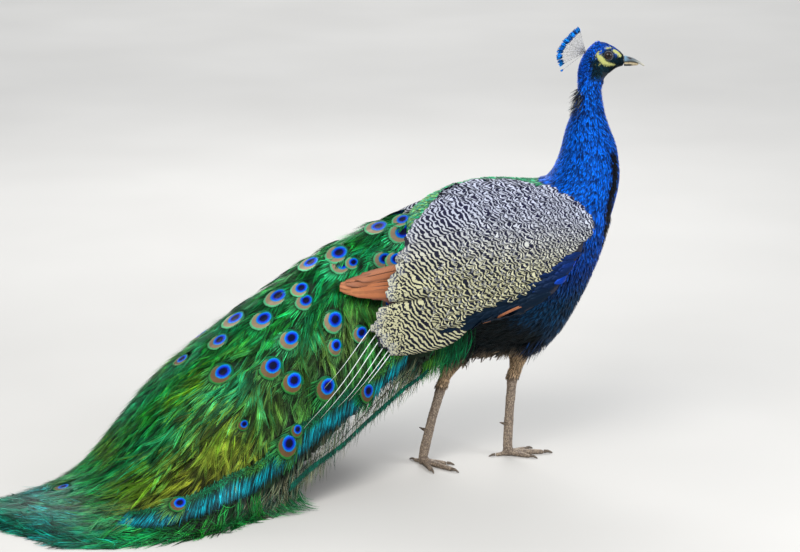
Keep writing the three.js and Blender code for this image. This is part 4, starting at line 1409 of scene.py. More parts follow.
def locks(lines, ups, each, root_spread, tip_spread, wave):
    """Turns each line into several barbs, apart at the root, gathered or spread at the tip, and wavy."""
    count, rows = lines.shape[:2]
    share = np.linspace(0, 1, rows)[None, :, None]
    ways = unit(np.gradient(lines, axis=1))
    side = unit(np.cross(ups, ways))
    lines, ups, ways, side = [np.repeat(a, each, axis=0) for a in (lines, ups, ways, side)]
    total = (count * each, 1, 1)
    offset = rng.uniform(-1, 1, total)
    swing = rng.normal(0, 1, total) * np.sin(share * 2.6 + rng.random(total) * 3)
    slide = rng.normal(0, 1, total)
    shrink = rng.uniform(0.75, 1.0, total)
    base = lines[:, :1] + (lines - lines[:, :1]) * shrink
    apart = offset * (root_spread * (1 - share) + tip_spread * share) + swing * wave * share
    lines = (base + side * apart * MM + ways * slide * root_spread * MM
             + ups * rng.uniform(0, 2.2, total) * share * MM)
    lines[:, :, 2] = np.maximum(lines[:, :, 2], FLOOR_GAP)
    return lines, ups


# %% Colours of the train
DEEP_GREEN = srgb(4, 96, 50)
GRASS_GREEN = srgb(34, 172, 34)
EMERALD = srgb(0, 172, 94)
OLIVE = srgb(88, 112, 44)
GOLD_OLIVE = srgb(150, 158, 20)
BRONZE = srgb(98, 84, 44)
LIME = srgb(120, 184, 14)
SEA_TEAL = srgb(0, 112, 96)
TURQUOISE = srgb(0, 164, 168)


def patches(p, v, seed):
    """A soft pattern of blotches over the train, from 0 to 1."""
    turn = seed * 1.7
    value = (np.sin(2.3 * p + 9 * v + turn) * np.sin(11 * v - 1.3 * p + 2 * turn)
             + np.sin(4.1 * p - 13 * v + 3 * turn) * np.sin(3.7 * p + 5 * v - turn))
    return np.clip(0.5 + 0.45 * value, 0, 1)


def hanging(p, v):
    """1 where barbs hang down the flank, 0 on the ridge, at the edge and at both ends."""
    near = np.abs(v)
    on_flank = smooth(near, 0.28, 0.42) * smooth(near, 0.8, 0.68)
    return on_flank * smooth(p, 1.2, 2.4) * smooth(p, 9.2, 8.4)


def train_dye(p, v):
    """The colour of barbs that root at each place on the train."""
    near = np.abs(v)
    colour = blended(patches(p, v, 1), EMERALD, GRASS_GREEN)
    colour = blended(0.75 * patches(p, v, 2), colour, DEEP_GREEN)
    colour = blended(hanging(p, v) * (0.3 + 0.6 * patches(p, v, 3)), colour, OLIVE)
    clump = smooth(p, 5.4, 6.6) * smooth(p, 9.2, 8.6)
    clump = clump * smooth(near, 0.36, 0.46) * smooth(near, 0.66, 0.6)
    colour = blended(clump * (0.2 + 0.5 * patches(p, v, 4)), colour, BRONZE)
    colour = blended(clump * (0.2 + 0.6 * patches(p, v, 5)), colour, GOLD_OLIVE)
    speckle = smooth(patches(p, v, 6), 0.6, 0.85) * smooth(p, 4.5, 6.0) * smooth(near, 0.55, 0.45)
    colour = blended(0.8 * speckle, colour, LIME)
    sheen = smooth(patches(p, v, 8), 0.66, 0.9) * smooth(near, 0.5, 0.3)
    colour = blended(0.6 * sheen, colour, srgb(20, 190, 130))
    end = smooth(p, 8.8, 10.2)
    colour = blended(end * 0.85, colour, SEA_TEAL)
    colour = blended(end * smooth(patches(p, v, 7), 0.6, 0.9) * 0.8, colour, TURQUOISE)
    return colour


# %% The finish of loose barbs
def barb_finish(name, root_shade):
    finish = Finish(name, roughness=0.42, metallic=0.45, specular_ior_level=0.25)
    tint = finish.attribute("tint")
    along = finish.attribute("along")
    # Painted shade: each barb is darker towards its root, where other barbs lie over it.
    shade = (0.05 + tint ** 2.2 * 2.1) * (root_shade + (1 - root_shade) * along.step(0.0, 0.7))
    glint = finish.noise(45, 1.5).step(0.45, 0.7) * 0.7 + 0.8
    return finish.feed(base_color=finish.scaled(finish.attribute("dye", "Color"), shade * glint))


train_finish = barb_finish("train_barbs", 0.08)
band_finish = barb_finish("fringe_barbs", 0.75)

# %% [markdown]
# Under the barbs lies a bed in place of the solids, painted dark as the shade beneath the barbs: a
# remeshed copy of the solids, moved from the measured surface to the draped one. Each of its vertices
# takes the nearest of a grid of places on the measured surface and moves as that place does.
# %% The train's bed, under the barbs
FRINGE = [  # place along and share across of the roots of the turquoise band
    (1.5, 0.74), (2.6, 0.77), (3.4, 0.75), (4.1, 0.72), (4.7, 0.715), (5.3, 0.70), (5.9, 0.69), (6.5, 0.70),
    (7.1, 0.68), (7.7, 0.665), (8.2, 0.65), (8.7, 0.63), (9.3, 0.58),
]
NET_FROM = 0.84  # past this share across, only a net of barbs hangs, so the bed is drawn in to it
NET_ENDS = 7.0
BED_DEPTH = 3.5 * MM
TRAIN_NODES = nodes_of("train_")
bed_mesh = shrunk(remeshed("train_bed", joined(TRAIN_NODES), 6.8 * MM, 4),
                  lambda points: np.full(len(points), BED_DEPTH))
bed_points = vertex_array(bed_mesh)
grid = np.meshgrid(np.arange(0, TRAIN_ENDS + 0.01, 0.25), np.linspace(-0.95, 0.95, 39))
p_grid, v_grid = [numbers.ravel() for numbers in grid]
cell = nearest_row(bed_points, train_point(p_grid, v_grid, TRAIN, ROOF))
bed_p, bed_v = p_grid[cell], v_grid[cell]
bed_points += train_point(bed_p, bed_v) - train_point(bed_p, bed_v, TRAIN, ROOF)
bed_points[:, 2] = np.maximum(bed_points[:, 2], 0.5 * MM)
drawn_to = np.interp(bed_p, (NET_ENDS - 0.7, NET_ENDS + 0.8), (NET_FROM, 0.97))
drawn_in = bed_v > drawn_to
bed_points[drawn_in] += (train_point(bed_p, drawn_to) - train_point(bed_p, bed_v))[drawn_in]
# Painted shade: the bed is the barbs' own colour at a tenth of its brightness.
paint(moved(bed_mesh, bed_points), train_dye(bed_p, bed_v) * 0.1, train_unwrap(bed_p, bed_v))
train_bed = dress(bpy.data.objects.new("train_bed", bed_mesh), base_finish.material, "train_plumage")
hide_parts(*TRAIN_NODES)

# %% [markdown]
# ### Eyes of the train
# An eye is a flat oval where the barbs close up: a violet-blue heart in a bright blue spot set towards the
# root, a bronze field, and a pale green ring. Here it is one cupped vane with an oval outline, and the
# rings are drawn from the distance to its middle and to the spot. Each eye sits on the surface where
# the table says, and the far side has the same eyes in a mirrored, slightly moved order.
# %% Where the eyes lie
NEAR_EYES = [  # place along the train, share across it, size
    (-0.05, 0.11, 0.75), (0.5, 0.21, 1.05), (1.15, 0.065, 1.0), (2.6, 0.13, 1.0), (2.65, 0.22, 0.9),
    (3.3, 0.05, 0.95), (4.25, 0.13, 1.05), (3.75, 0.19, 0.8), (3.8, 0.27, 0.8), (5.2, 0.05, 1.05),
    (4.75, 0.195, 1.0), (5.7, 0.115, 0.9), (4.45, 0.37, 0.95), (3.45, 0.435, 1.05), (3.6, 0.53, 0.8),
    (2.85, 0.565, 0.8), (1.7, 0.525, 0.8), (1.45, 0.315, 0.8), (1.1, 0.34, 0.8), (2.35, 0.25, 0.6),
    (5.1, 0.41, 1.05), (6.05, 0.275, 1.05), (4.8, 0.52, 1.0), (4.15, 0.635, 1.05), (3.15, 0.785, 0.9),
    (5.55, 0.695, 1.05), (5.15, 0.685, 0.6), (6.2, 0.515, 0.5), (8.4, 0.645, 0.75), (10.3, 0.065, 0.7),
    (6.45, 0.03, 0.7),
]
EYE_HALF_LENGTH = 23
EYE_HALF_WIDTH = 20.5
EYE_REACH = 30 * MM  # how far above or below an eye a barb still counts as over it
near_eyes = np.array(NEAR_EYES)
off_ridge = near_eyes[near_eyes[:, 1] > 0.08]
far_eyes = off_ridge * (1, -1, 1) + rng.normal(0, 1, off_ridge.shape) * (0.18, 0.035, 0.03)
eyes = np.vstack([near_eyes + (0.1, 0.005, 0), far_eyes])
eyes = eyes[np.argsort(-eyes[:, 0])]
eye_p, eye_v, eye_size = eyes.T
eye_droop = 0.25 * smooth(np.abs(eye_v), 0.2, 0.5)

# %% The eyes' rings
eye_finish = Finish("train_eyes", roughness=0.4, metallic=0.3, specular_ior_level=0.15)
lengthwise = eye_finish.attribute("along") * 2 - 1
sideways = eye_finish.attribute("across") * (1.0001 - lengthwise * lengthwise) ** 0.5
fray = eye_finish.noise(420, 2) * 0.17 - 0.085
rim = (lengthwise * lengthwise + sideways * sideways) ** 0.5 + fray
spot_along = (lengthwise + 0.24) / 1.08
spot = (spot_along * spot_along + sideways * sideways) ** 0.5 + fray * 0.7
# Painted light and shade: eyes higher on the train get a paler, lit tan and ring, and lower ones a darker,
# shaded copy.
lit_higher_up = eye_finish.position().part(2).step(0.2, 0.34)
tan = eye_finish.mix(lit_higher_up, srgb(112, 84, 56), srgb(158, 138, 112))
ring = eye_finish.mix(lit_higher_up, srgb(48, 130, 56), srgb(92, 196, 138))
field = eye_finish.mix(rim.step(0.76, 0.84), eye_finish.scaled(tan, 0.7 + rim * 0.4), ring)
field = eye_finish.mix(rim.step(0.92, 1.0), field, srgb(10, 96, 44))
root_side = lengthwise.step(-0.1, -0.5)
field = eye_finish.mix(root_side, field, srgb(12, 100, 60))
heart = eye_finish.ramp(spot, (0.0, srgb(0, 2, 30)), (0.28, srgb(0, 4, 62)), (0.36, srgb(0, 40, 190)),
                        (0.47, srgb(0, 80, 230)), (0.56, srgb(0, 140, 200)), (0.62, srgb(10, 96, 96)))
eye_colour = eye_finish.mix(spot.step(0.58, 0.63), heart, field)
eye_barbs = ((eye_finish.attribute("run") + eye_finish.attribute("across").size() * 16) * 4.2).sine()
eye_finish.bump(eye_barbs + eye_finish.noise(900) * 2, 0.0003, 0.7)
eye_shade = 0.78 + eye_finish.attribute("tint") * 0.3 + eye_barbs * 0.1
eye_material = eye_finish.feed(base_color=eye_finish.scaled(eye_colour, eye_shade))

# %% Lay the eyes
EYE_ROWS = 15
OVAL = tuple(np.sqrt(np.clip(1 - np.linspace(-1, 1, EYE_ROWS) ** 2, 0.01, 1)))
step_back = 0.33 * eye_size
eye_lift = (6.5 + 7.5 * smooth(eye_v, 0.6, 0.66)) * MM
lines, ups = train_trace(eye_p - step_back * 0.98, eye_v, train_lie(eye_droop),
                         2 * EYE_HALF_LENGTH * eye_size * MM, EYE_ROWS, eye_lift, 1.5 * MM)
sheets("train_eyes", lines, ups, EYE_HALF_WIDTH * eye_size * MM, OVAL, eye_material, "train_plumage", 13, 0.1,
       train_unwrap(eye_p, eye_v), 0.02, tint=rng.random(len(eyes)))
eye_middles = lines[:, EYE_ROWS // 2]
eye_ways = unit(lines[:, -1] - lines[:, 0])
eye_ups = ups[:, EYE_ROWS // 2]
eye_sides = unit(np.cross(eye_ups, eye_ways))


def clear_of_eyes(lines, margin):
    """Which lines keep off every eye, by a share of its size."""
    keep = np.ones(len(lines), bool)
    for middle, way, side, up, size in zip(eye_middles, eye_ways, eye_sides, eye_ups, eye_size):
        gap = lines[:, 1:] - middle
        along = (gap @ way) / (EYE_HALF_LENGTH * size * MM)
        across = (gap @ side) / (EYE_HALF_WIDTH * size * MM)
        close = (along ** 2 + across ** 2 < margin ** 2) & (np.abs(gap @ up) < EYE_REACH)
        keep &= ~close.any(1)
    return keep


# %% Barbs round each eye, and up both sides of its shaft
count = len(eyes)
RAYS = 64
angle = np.tile(np.linspace(-2.2, 2.2, RAYS), count) + rng.normal(0, 0.04, RAYS * count)
owner = np.repeat(np.arange(count), RAYS)
size = eye_size[owner]
out = eye_ways[owner] * np.cos(angle)[:, None] + eye_sides[owner] * np.sin(angle)[:, None]
start = eye_middles[owner] + 0.86 * MM * size[:, None] * (
    eye_ways[owner] * (np.cos(angle) * EYE_HALF_LENGTH)[:, None]
    + eye_sides[owner] * (np.sin(angle) * EYE_HALF_WIDTH)[:, None])
steps = np.linspace(0, 1, 5)[None, :, None]
reach = rng.uniform(10, 30, RAYS * count)[:, None, None] * MM
bend = unit(out * 0.3 + eye_ways[owner])[:, None]
lines = start[:, None] + out[:, None] * steps * reach * 0.25 + bend * steps ** 1.3 * reach * 0.85
lines = lines - eye_ups[owner][:, None] * (steps ** 2 * reach * 0.2 + 1.2 * MM)
lines[:, :, 2] = np.maximum(lines[:, :, 2], FLOOR_GAP)
ray_dye = train_dye(eye_p[owner], eye_v[owner]) * 0.75 + np.array(EMERALD) * 0.25
sheets("eye_rays", lines, np.repeat(eye_ups[owner][:, None], 5, 1), 0.55 * MM, BARB, train_finish,
       "train_plumage", 2, 0, train_unwrap(eye_p, eye_v)[owner], 0.003, dye=ray_dye,
       tint=rng.uniform(0.2, 0.85, len(lines)))

# %% [markdown]
# ### Loose barbs
# Between the eyes the train is a hanging mass of barbs. They gather into locks, so each lock is one
# line laid over the surface, and its barbs are copies that part at the root and come together at the
# tip. On the ridge they run along the train, and on its flank they hang, as hair does over a shoulder.
# %% The mass of barbs
CANDIDATES = 90000


def train_roots(spacing, p_from, p_to, v_from, v_to):
    """Places over a part of the train, about as far apart as spacing says, the hindmost first."""
    p = rng.uniform(p_from, p_to, CANDIDATES)
    v = rng.uniform(v_from, v_to, CANDIDATES)
    first = first_in_cells(train_point(p, v), spacing * MM)
    first = first[np.argsort(-p[first])]
    return p[first], v[first]


def droop_at(p, v):
    """How much barbs droop: little on the ridge, and more on the flank and on its near side."""
    near = np.abs(v)
    late = 0.2 * smooth(p, 4.5, 6.5)
    flank = smooth(near - late, 0.16, 0.46) * smooth(p, 0.8, 2.2) * smooth(p, 9.6, 7.6)
    return 0.12 + 0.6 * flank * np.where(v > 0, 1, 0.85)


def above_fringe(p, v, gap):
    """Whether barbs rooted at these places end above the fringe of the near edge, by a share across."""
    limit = np.interp(p, *zip(*FRINGE)) - gap
    return (v < limit) | (p > FRINGE[-1][0])


def lay_locks(name, spacing, p_range, v_range, length, each, half, spread, rise, droop_scale=1.0, rows=7,
              seed=0, gap=-0.3, under=0.0, stray=0.16, ragged=0.0):
    """Locks of barbs over a part of the train.

    length is a number or a function of the place, each how many barbs a lock has, and spread how far
    they part at the root, at the tip and in waves. gap keeps roots above the fringe, under paints shade
    on barbs that hang beneath others, stray turns locks at random, and ragged staggers the first roots."""
    p, v = train_roots(spacing, *p_range, *v_range)
    kept = above_fringe(p, v, gap) & (p > p_range[0] + ragged * rng.random(len(p)))
    p, v = p[kept], v[kept]
    droop = droop_at(p, v) * droop_scale
    lean = rng.normal(0, stray, len(p)) + 0.25 * (patches(p, v, 9 + seed) - 0.5)
    length = length(p, v) if callable(length) else length
    lengths = length * rng.uniform(0.75, 1.2, len(p)) * MM
    lines, ups = train_trace(p, v, train_lie(droop, lean), lengths, rows, 1.0 * MM, rise * MM,
                             rng.normal(0, 1.6 * stray, len(p)))
    lines, ups = locks(lines, ups, each, *spread)
    lock_tint = np.repeat(rng.random(len(p)), each)
    p, v = np.repeat(p, each), np.repeat(v, each)
    keep = clear_of_eyes(lines, 0.93)
    lines, ups, p, v, lock_tint = lines[keep], ups[keep], p[keep], v[keep], lock_tint[keep]
    tint = np.clip(0.7 * lock_tint + 0.25 * rng.random(len(p)) + 0.12 * patches(p, v, 12 + seed), 0, 1)
    dye = train_dye(p + rng.normal(0, 0.12, len(p)), v + rng.normal(0, 0.03, len(p)))
    # Painted shade: the lower layer is darkened, most where it hangs beneath others on the flank.
    dye = dye * (1 - under * (0.3 + 0.7 * hanging(p, v)))[:, None]
    halves = rng.uniform(0.7, 1.25, len(p)) * half * MM
    return sheets(name, lines, ups, halves, BARB, train_finish, "train_plumage", 2, 0, train_unwrap(p, v),
                  dye=dye, tint=tint)


def barb_length(p, v):
    return 34 + 26 * smooth(p, 0, 3) + 14 * smooth(p, 5, 8) * smooth(np.abs(v), 0.2, 0.5)


def tassel_length(p, v):
    return 58 + 30 * smooth(p, 3.5, 6.5)


lay_locks("train_barbs_under", 13, (0.0, 12.9), (-0.93, 0.93), barb_length, 7, 0.8, (7, 3.5, 2.0), 3.0,
          rows=5, gap=0.04, under=0.75)
lay_locks("train_barbs_near", 11, (0.2, 12.9), (0.0, 0.93), barb_length, 12, 0.5, (5, 1.6, 2.4), 6.5,
          seed=1, gap=0.075)
lay_locks("train_barbs_far", 13, (0.2, 12.9), (-0.93, 0.0), barb_length, 8, 0.66, (5, 2.0, 2.4), 6.0,
          rows=6, seed=2)

# %% Hanging tassels, wisps on the ridge and strands on the ground
lay_locks("train_tassels", 23, (2.2, 8.6), (0.3, 0.66), tassel_length, 15, 0.55, (7, 1.2, 3.0), 12.0,
          droop_scale=1.25, rows=9, seed=3, gap=0.19)
lay_locks("ridge_wisps", 15, (0.3, 12.6), (-0.16, 0.14), 58, 3, 0.32, (4, 7, 5), 12.0,
          droop_scale=0.2, seed=4)
lay_locks("ground_strands", 14, (6.0, 12.9), (0.78, 0.93), 80, 7, 0.6, (6, 9, 9), 6.0,
          rows=8, seed=5, stray=0.4, ragged=1.3)
lay_locks("train_end_locks", 15, (8.8, 12.8), (-0.9, 0.93), 84, 8, 0.6, (6, 3, 7), 9.0,
          droop_scale=0.5, rows=8, seed=6, stray=0.42)

# %% [markdown]
# ### The turquoise fringe and the bare shafts
# Along the lower edge run feathers with no eye. Their barbs are short and dense on one side, so together
# they read as a rolled band, green above, turquoise along the middle and painted dark below, as the shade
# under the roll. Past it only a thin net of barbs is left, which lets the ground show through. Out from
# under the wing come a few bare white shafts.
# %% The rolled band
FRINGE_BARBS = 6400
along_band = np.sort(rng.random(FRINGE_BARBS))[::-1] * (len(FRINGE) - 1)
p, v = row_at(FRINGE, along_band).T
v = v + 0.004 + rng.normal(0, 0.009, FRINGE_BARBS)
lines, ups = train_trace(p, v, train_lie(0.58, 0.1), rng.uniform(27, 48, FRINGE_BARBS) * MM,
                         6, 10.0 * MM, -3.5 * MM, rng.normal(0.1, 0.2, FRINGE_BARBS))
band_share = np.linspace(0, 1, 6)[None, :, None]
greener = (0.75 + 0.5 * (rng.random(FRINGE_BARBS) - 0.5))[:, None, None]
lime_share = np.clip(smooth(p, 3.6, 2.6) + np.exp(-((p - 6.5) / 0.35) ** 2), 0, 1)
lime_share = lime_share * rng.random(FRINGE_BARBS)
band_top = blended(lime_share, srgb(6, 116, 66), srgb(96, 166, 14))[:, None] * greener
band_middle = np.array(srgb(0, 150, 166)) * greener
# Painted shade: the outer ends of the band's barbs are dark, as the shade under the roll.
band_shade_below = np.array(srgb(0, 66, 80))
band_dye = (band_top * np.clip(1.0 - band_share * 3.2, 0, 1)
            + band_middle * np.clip(1.1 - np.abs(band_share - 0.5) * 2.3, 0, 1)
            + band_shade_below * np.clip(band_share * 2.2 - 1.25, 0, 1))
sheets("fringe_band", lines, ups, 0.6 * MM, BARB, band_finish, "train_plumage", 2, 0, train_unwrap(p, v),
       dye=band_dye, tint=rng.uniform(0.1, 1, FRINGE_BARBS))

# %% The net below it
NET_BARBS = 1150
p = rng.uniform(1.2, 7.4, NET_BARBS)
v = rng.uniform(0.8, 0.92, NET_BARBS)
lines, ups = train_trace(p, v, train_lie(0.5, 0.15), rng.uniform(22, 50, NET_BARBS) * MM,
                         6, 2.0 * MM, 1.0 * MM, rng.normal(0, 0.5, NET_BARBS))
net_dye = blended(rng.random(NET_BARBS), srgb(0, 84, 70), srgb(132, 130, 96))
sheets("net_barbs", lines, ups, 0.42 * MM, BARB, train_finish, "train_plumage", 2, 0, train_unwrap(p, v),
       dye=net_dye, tint=rng.uniform(0.3, 0.9, NET_BARBS))

# %% Bare shafts
EDGE_SHAFTS = [  # place and share across at a few points of each
    ((1.0, 0.90), (2.4, 0.95), (3.8, 0.94), (5.0, 0.90), (5.7, 0.88)),
    ((1.6, 0.86), (2.9, 0.90), (4.2, 0.90), (5.3, 0.86), (6.2, 0.84)),
]
WHITE_SHAFTS = [
    ((2.1, 0.60), (3.3, 0.665), (4.2, 0.70), (5.0, 0.715)),
    ((2.1, 0.63), (3.1, 0.69), (3.9, 0.72), (4.5, 0.735)),
    ((2.1, 0.67), (2.9, 0.72), (3.5, 0.745), (4.0, 0.75)),
    ((2.0, 0.72), (2.5, 0.75), (3.0, 0.77), (3.4, 0.78)),
    ((2.1, 0.56), (2.9, 0.60), (3.6, 0.63), (4.2, 0.645)),
    ((2.0, 0.70), (2.6, 0.735), (3.1, 0.755), (3.7, 0.765)),
]
shaft_finish = Finish("white_shafts", roughness=0.35)
towards_tip = shaft_finish.attribute("along").step(0.5, 1.0)
shaft_tone = shaft_finish.mix(towards_tip, srgb(226, 232, 232), srgb(150, 158, 140))
shaft_finish.feed(base_color=shaft_finish.scaled(shaft_tone, 0.8 + shaft_finish.noise(300) * 0.3))


def shafts(name, knots, lift, half, finish):
    steps = np.linspace(0, len(knots[0]) - 1, 24)
    flat = np.stack([row_at(knot, steps) for knot in knots])
    ups = train_frame(flat[..., 0], flat[..., 1])[2]
    lines = train_point(flat[..., 0], flat[..., 1]) + ups * lift * MM
    places = train_unwrap(flat[:, 12, 0], flat[:, 12, 1])
    return sheets(name, lines, ups, half * MM, (1.0, 0.8, 0.5, 0.2), finish, "train_plumage", 5, 1.1, places,
                  0.01, dye=np.tile(srgb(20, 44, 40), (len(knots), 1)), tint=rng.random(len(knots)))


shafts("bare_shafts", WHITE_SHAFTS, 13.5, 0.95, shaft_finish.material)
shafts("edge_shafts", EDGE_SHAFTS, 3.0, 0.9, train_finish)

# %% [markdown]
# The outermost shaft carries a narrow fringe of its own. At its end a few barbs fall straight to the
# ground and curl forwards there, so they are drawn in the air and not along the surface.
# %% The narrow second fringe
EDGE_BARBS = 2300
OUTERMOST = EDGE_SHAFTS[0]
p, v = row_at(OUTERMOST, rng.random(EDGE_BARBS) * (len(OUTERMOST) - 1)).T
lines, ups = train_trace(p, v - 0.012, train_lie(0.5, 0.1), rng.uniform(7, 15, EDGE_BARBS) * MM,
                         4, 3.0 * MM, 0.5 * MM, rng.normal(0, 0.3, EDGE_BARBS))
edge_dye = blended(rng.random(EDGE_BARBS), srgb(0, 58, 60), srgb(0, 116, 84))
sheets("edge_fringe", lines, ups, 0.6 * MM, BARB, band_finish, "train_plumage", 2, 0, train_unwrap(p, v),
       dye=edge_dye, tint=rng.uniform(0.2, 0.9, EDGE_BARBS))

# %% Curls that fall from its end
CURLS = 44
CURL_ROWS = 11
CURL_UP = (0.2, -0.75, 0.6)
CURL_BARBS = 3  # in each

p = rng.uniform(5.4, 6.7, CURLS)
v = rng.uniform(0.79, 0.87, CURLS)
start = train_point(p, v)
steps = np.linspace(0, 1, CURL_ROWS)[None, :, None]
lines = (start[:, None] + np.array([1.0, 0, 0]) * steps ** 2.2 * rng.uniform(4, 52, (CURLS, 1, 1)) * MM
         + NEARWARD * steps * rng.uniform(2, 14, (CURLS, 1, 1)) * MM)
fall = np.sin(steps[..., 0] * np.pi / 2)
lines[..., 2] = np.maximum(start[:, None, 2] * (1 - fall), FLOOR_GAP)
ups = np.tile(unit(np.array(CURL_UP)), (CURLS, CURL_ROWS, 1))
lines, ups = locks(lines, ups, CURL_BARBS, 0.8, 2.6, 2.5)
p, v = np.repeat(p, CURL_BARBS), np.repeat(v, CURL_BARBS)
curl_dye = blended(rng.random(len(p)), srgb(0, 78, 52), srgb(20, 128, 52))
sheets("edge_curls", lines, ups, 0.55 * MM, BARB, train_finish, "train_plumage", 2, 0, train_unwrap(p, v),
       dye=curl_dye, tint=rng.uniform(0.3, 0.8, len(p)))

# %% [markdown]
# ## The tail
# Under the train is the real tail, a short fan of stiff brown feathers that props the train up. It is
# hardly seen, so broad plain vanes laid side by side are enough.
# %% Tail feathers
TAIL = [  # x, y, z of its middle, and half its width
    (-182, -6, 337, 24), (-250, -34, 305, 52), (-330, -68, 254, 78), (-410, -102, 200, 96),
    (-452, -119, 170, 92),
]
TAIL_FEATHERS = 16
TAIL_SAG = 16
steps = np.linspace(0, 4, 12)
rows = row_at(TAIL, steps)
spread = np.linspace(-0.86, 0.86, TAIL_FEATHERS)
tail_lines = rows[None, :, :3] + NEARWARD * (spread[:, None] * rows[None, :, 3])[..., None]
tail_lines[..., 2] -= TAIL_SAG * spread[:, None] ** 2 - 0.5 * np.arange(TAIL_FEATHERS)[:, None] % 2
tail_places = np.stack([0.5 + 0.45 * spread, np.full(TAIL_FEATHERS, 0.5)], 1)
tail_ups = np.tile([0.0, 0.0, 1.0], (TAIL_FEATHERS, 12, 1))
tail = sheets("tail_feathers", place(tail_lines), tail_ups, 14 * MM, LONG_LEAF, quill_finish,
              "tail_plumage", 5, 0.1, tail_places, 0.03, tint=rng.random(TAIL_FEATHERS) * 0.3)
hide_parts("tail")

# %% [markdown]
# ## Legs
# Scaly plates cover the legs: a row of broad ones down the front and along the top of each toe, and
# small ones everywhere else. Each is a short cupped vane on the skin. The claws and spurs are horn, so
# they stay pieces of their own, as remeshed and smoothed copies of their solids.
# %% Scales
LEG_AXES = [((-38, -38, 172), (-78, -22, 12)), ((90, 30, 162), (80, 30, 12))]
FEET = [(-78, -22, -40, RIGHT), (80, 30, 8, LEFT)]  # x, y, heading in degrees and side
TOES = [(0, 68), (30, 44), (-32, 48), (172, 24)]  # turn from the heading and length
SCALES_FROM, SCALES_TO = 1.2, 158  # heights


def leg_lie(points):
    """Down the leg, then outwards along the toes."""
    x, y, z = measure(points).T
    foot = np.where((y > 4)[:, None], (80, 30), (-78, -22))
    outwards = np.stack([x, y], 1) - foot
    down = smooth(z, 14, 30)[:, None]
    lie = np.concatenate([unit(outwards), np.zeros((len(x), 1))], 1) * (1 - down)
    return unit(lie + np.array([-0.1, 0, -1.0]) * down)


scale_finish = Finish("leg_scales", roughness=0.6)
scale_grain = scale_finish.noise(600, 3)
scale_tone = scale_finish.ramp(
    scale_finish.attribute("tint") * 0.7 + scale_grain * 0.3,
    (0.1, srgb(96, 84, 74)), (0.5, srgb(134, 118, 102)), (0.9, srgb(164, 148, 128)))
scale_edge = 0.55 + scale_finish.attribute("along").step(0.0, 0.5) * 0.5
scale_finish.bump(scale_grain, 0.0006)
scale_finish.feed(base_color=scale_finish.scaled(scale_tone, scale_edge))
PLATE = (0.9, 1.0, 1.0, 0.85, 0.4)


def lay_scales(name, roots, length, half, rows=4):
    lines, ups = trace(skin_form, roots, leg_lie, length * MM, rows, 0.15 * MM, 0.5 * MM)
    return sheets(name, lines, ups, half * MM, PLATE, scale_finish.material, "leg_skin", 3, 0.45,
                  body_unwrap(roots), 0.004, tint=rng.random(len(roots)))


def hit(start, way):
    """Where a short ray meets the skin, or None."""
    found = skin_form.tree.ray_cast(Vector(place(start)), Vector(way), 0.06)[0]
    return None if found is None else np.array(found)


def on_bare_leg(points, normals):
    z = measure(points)[:, 2]
    return (z < SCALES_TO) & (z > SCALES_FROM)


small_roots, _ = skin_form.scatter(2.5 * MM, on_bare_leg)
small_roots = small_roots[np.argsort(measure(small_roots)[:, 2])]
lay_scales("leg_scales", small_roots, 3.6, 1.55)
plate_roots = []
for top, foot in LEG_AXES:
    for share in np.linspace(0.04, 0.95, 27):
        x, y, z = np.array(top) * (1 - share) + np.array(foot) * share
        plate_roots.append(hit((x + 30, y, z), (-1, 0, 0)))
for x, y, heading, side in FEET:
    for turn, length in TOES:
        angle = np.radians(heading - turn * side)
        for reach in np.arange(9, length - 2, 4.6):
            above = (x + reach * np.cos(angle), y + reach * np.sin(angle), 34)
            plate_roots.append(hit(above, (0, 0, -1)))
plate_roots = np.array([root for root in plate_roots if root is not None])
lay_scales("leg_plates", plate_roots, 6.4, 3.7, 5)

# %% Claws and spurs
horn_finish = Finish("claw_horn", roughness=0.35)
horn_grain = horn_finish.noise(500, 3)
horn_finish.bump(horn_grain, 0.0003)
horn_finish.feed(base_color=horn_finish.ramp(horn_grain, (0.3, srgb(66, 56, 48)), (0.7, srgb(112, 98, 82))))


def smooth_copy(name, nodes, voxel, rounds, finish, slot):
    """A smooth piece that stands for faceted nodes, in their own place."""
    mesh = remeshed(name, joined(nodes), voxel * MM, rounds)
    points = vertex_array(mesh)
    flat = measure(points)[:, [0, 2]]
    spread = (flat - flat.min(0)) / np.maximum(np.ptp(flat, axis=0), 1e-6)
    halfway = np.where(points[:, 1] > ORIGIN[1], 0.5, 0.0)
    layer_places = np.stack([halfway + 0.48 * spread[:, 0], spread[:, 1]], 1)
    paint(mesh, np.full((len(points), 3), 0.2), layer_places)
    piece = dress(bpy.data.objects.new(name, mesh), finish, slot)
    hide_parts(*nodes)
    return piece


smooth_copy("claws", nodes_of("claw_"), 0.55, 2, horn_finish.material, "claw")
smooth_copy("spurs", nodes_of("spur_"), 0.6, 2, horn_finish.material, "claw")

# %% [markdown]
# ## Bill
# The bill is horn over bone: dark blue-grey near its base, under a pale blue highlight painted there,
# paler along the cutting edge, with a hooked tip and a long nostril. Its two halves stay separate pieces,
# so the line of the mouth is a real gap.
# %% The two halves
bill = Finish("bill_horn", roughness=0.32)
from_base = (bill.position().part(0) - float(place((280, 0, 0))[0])) * 28.0
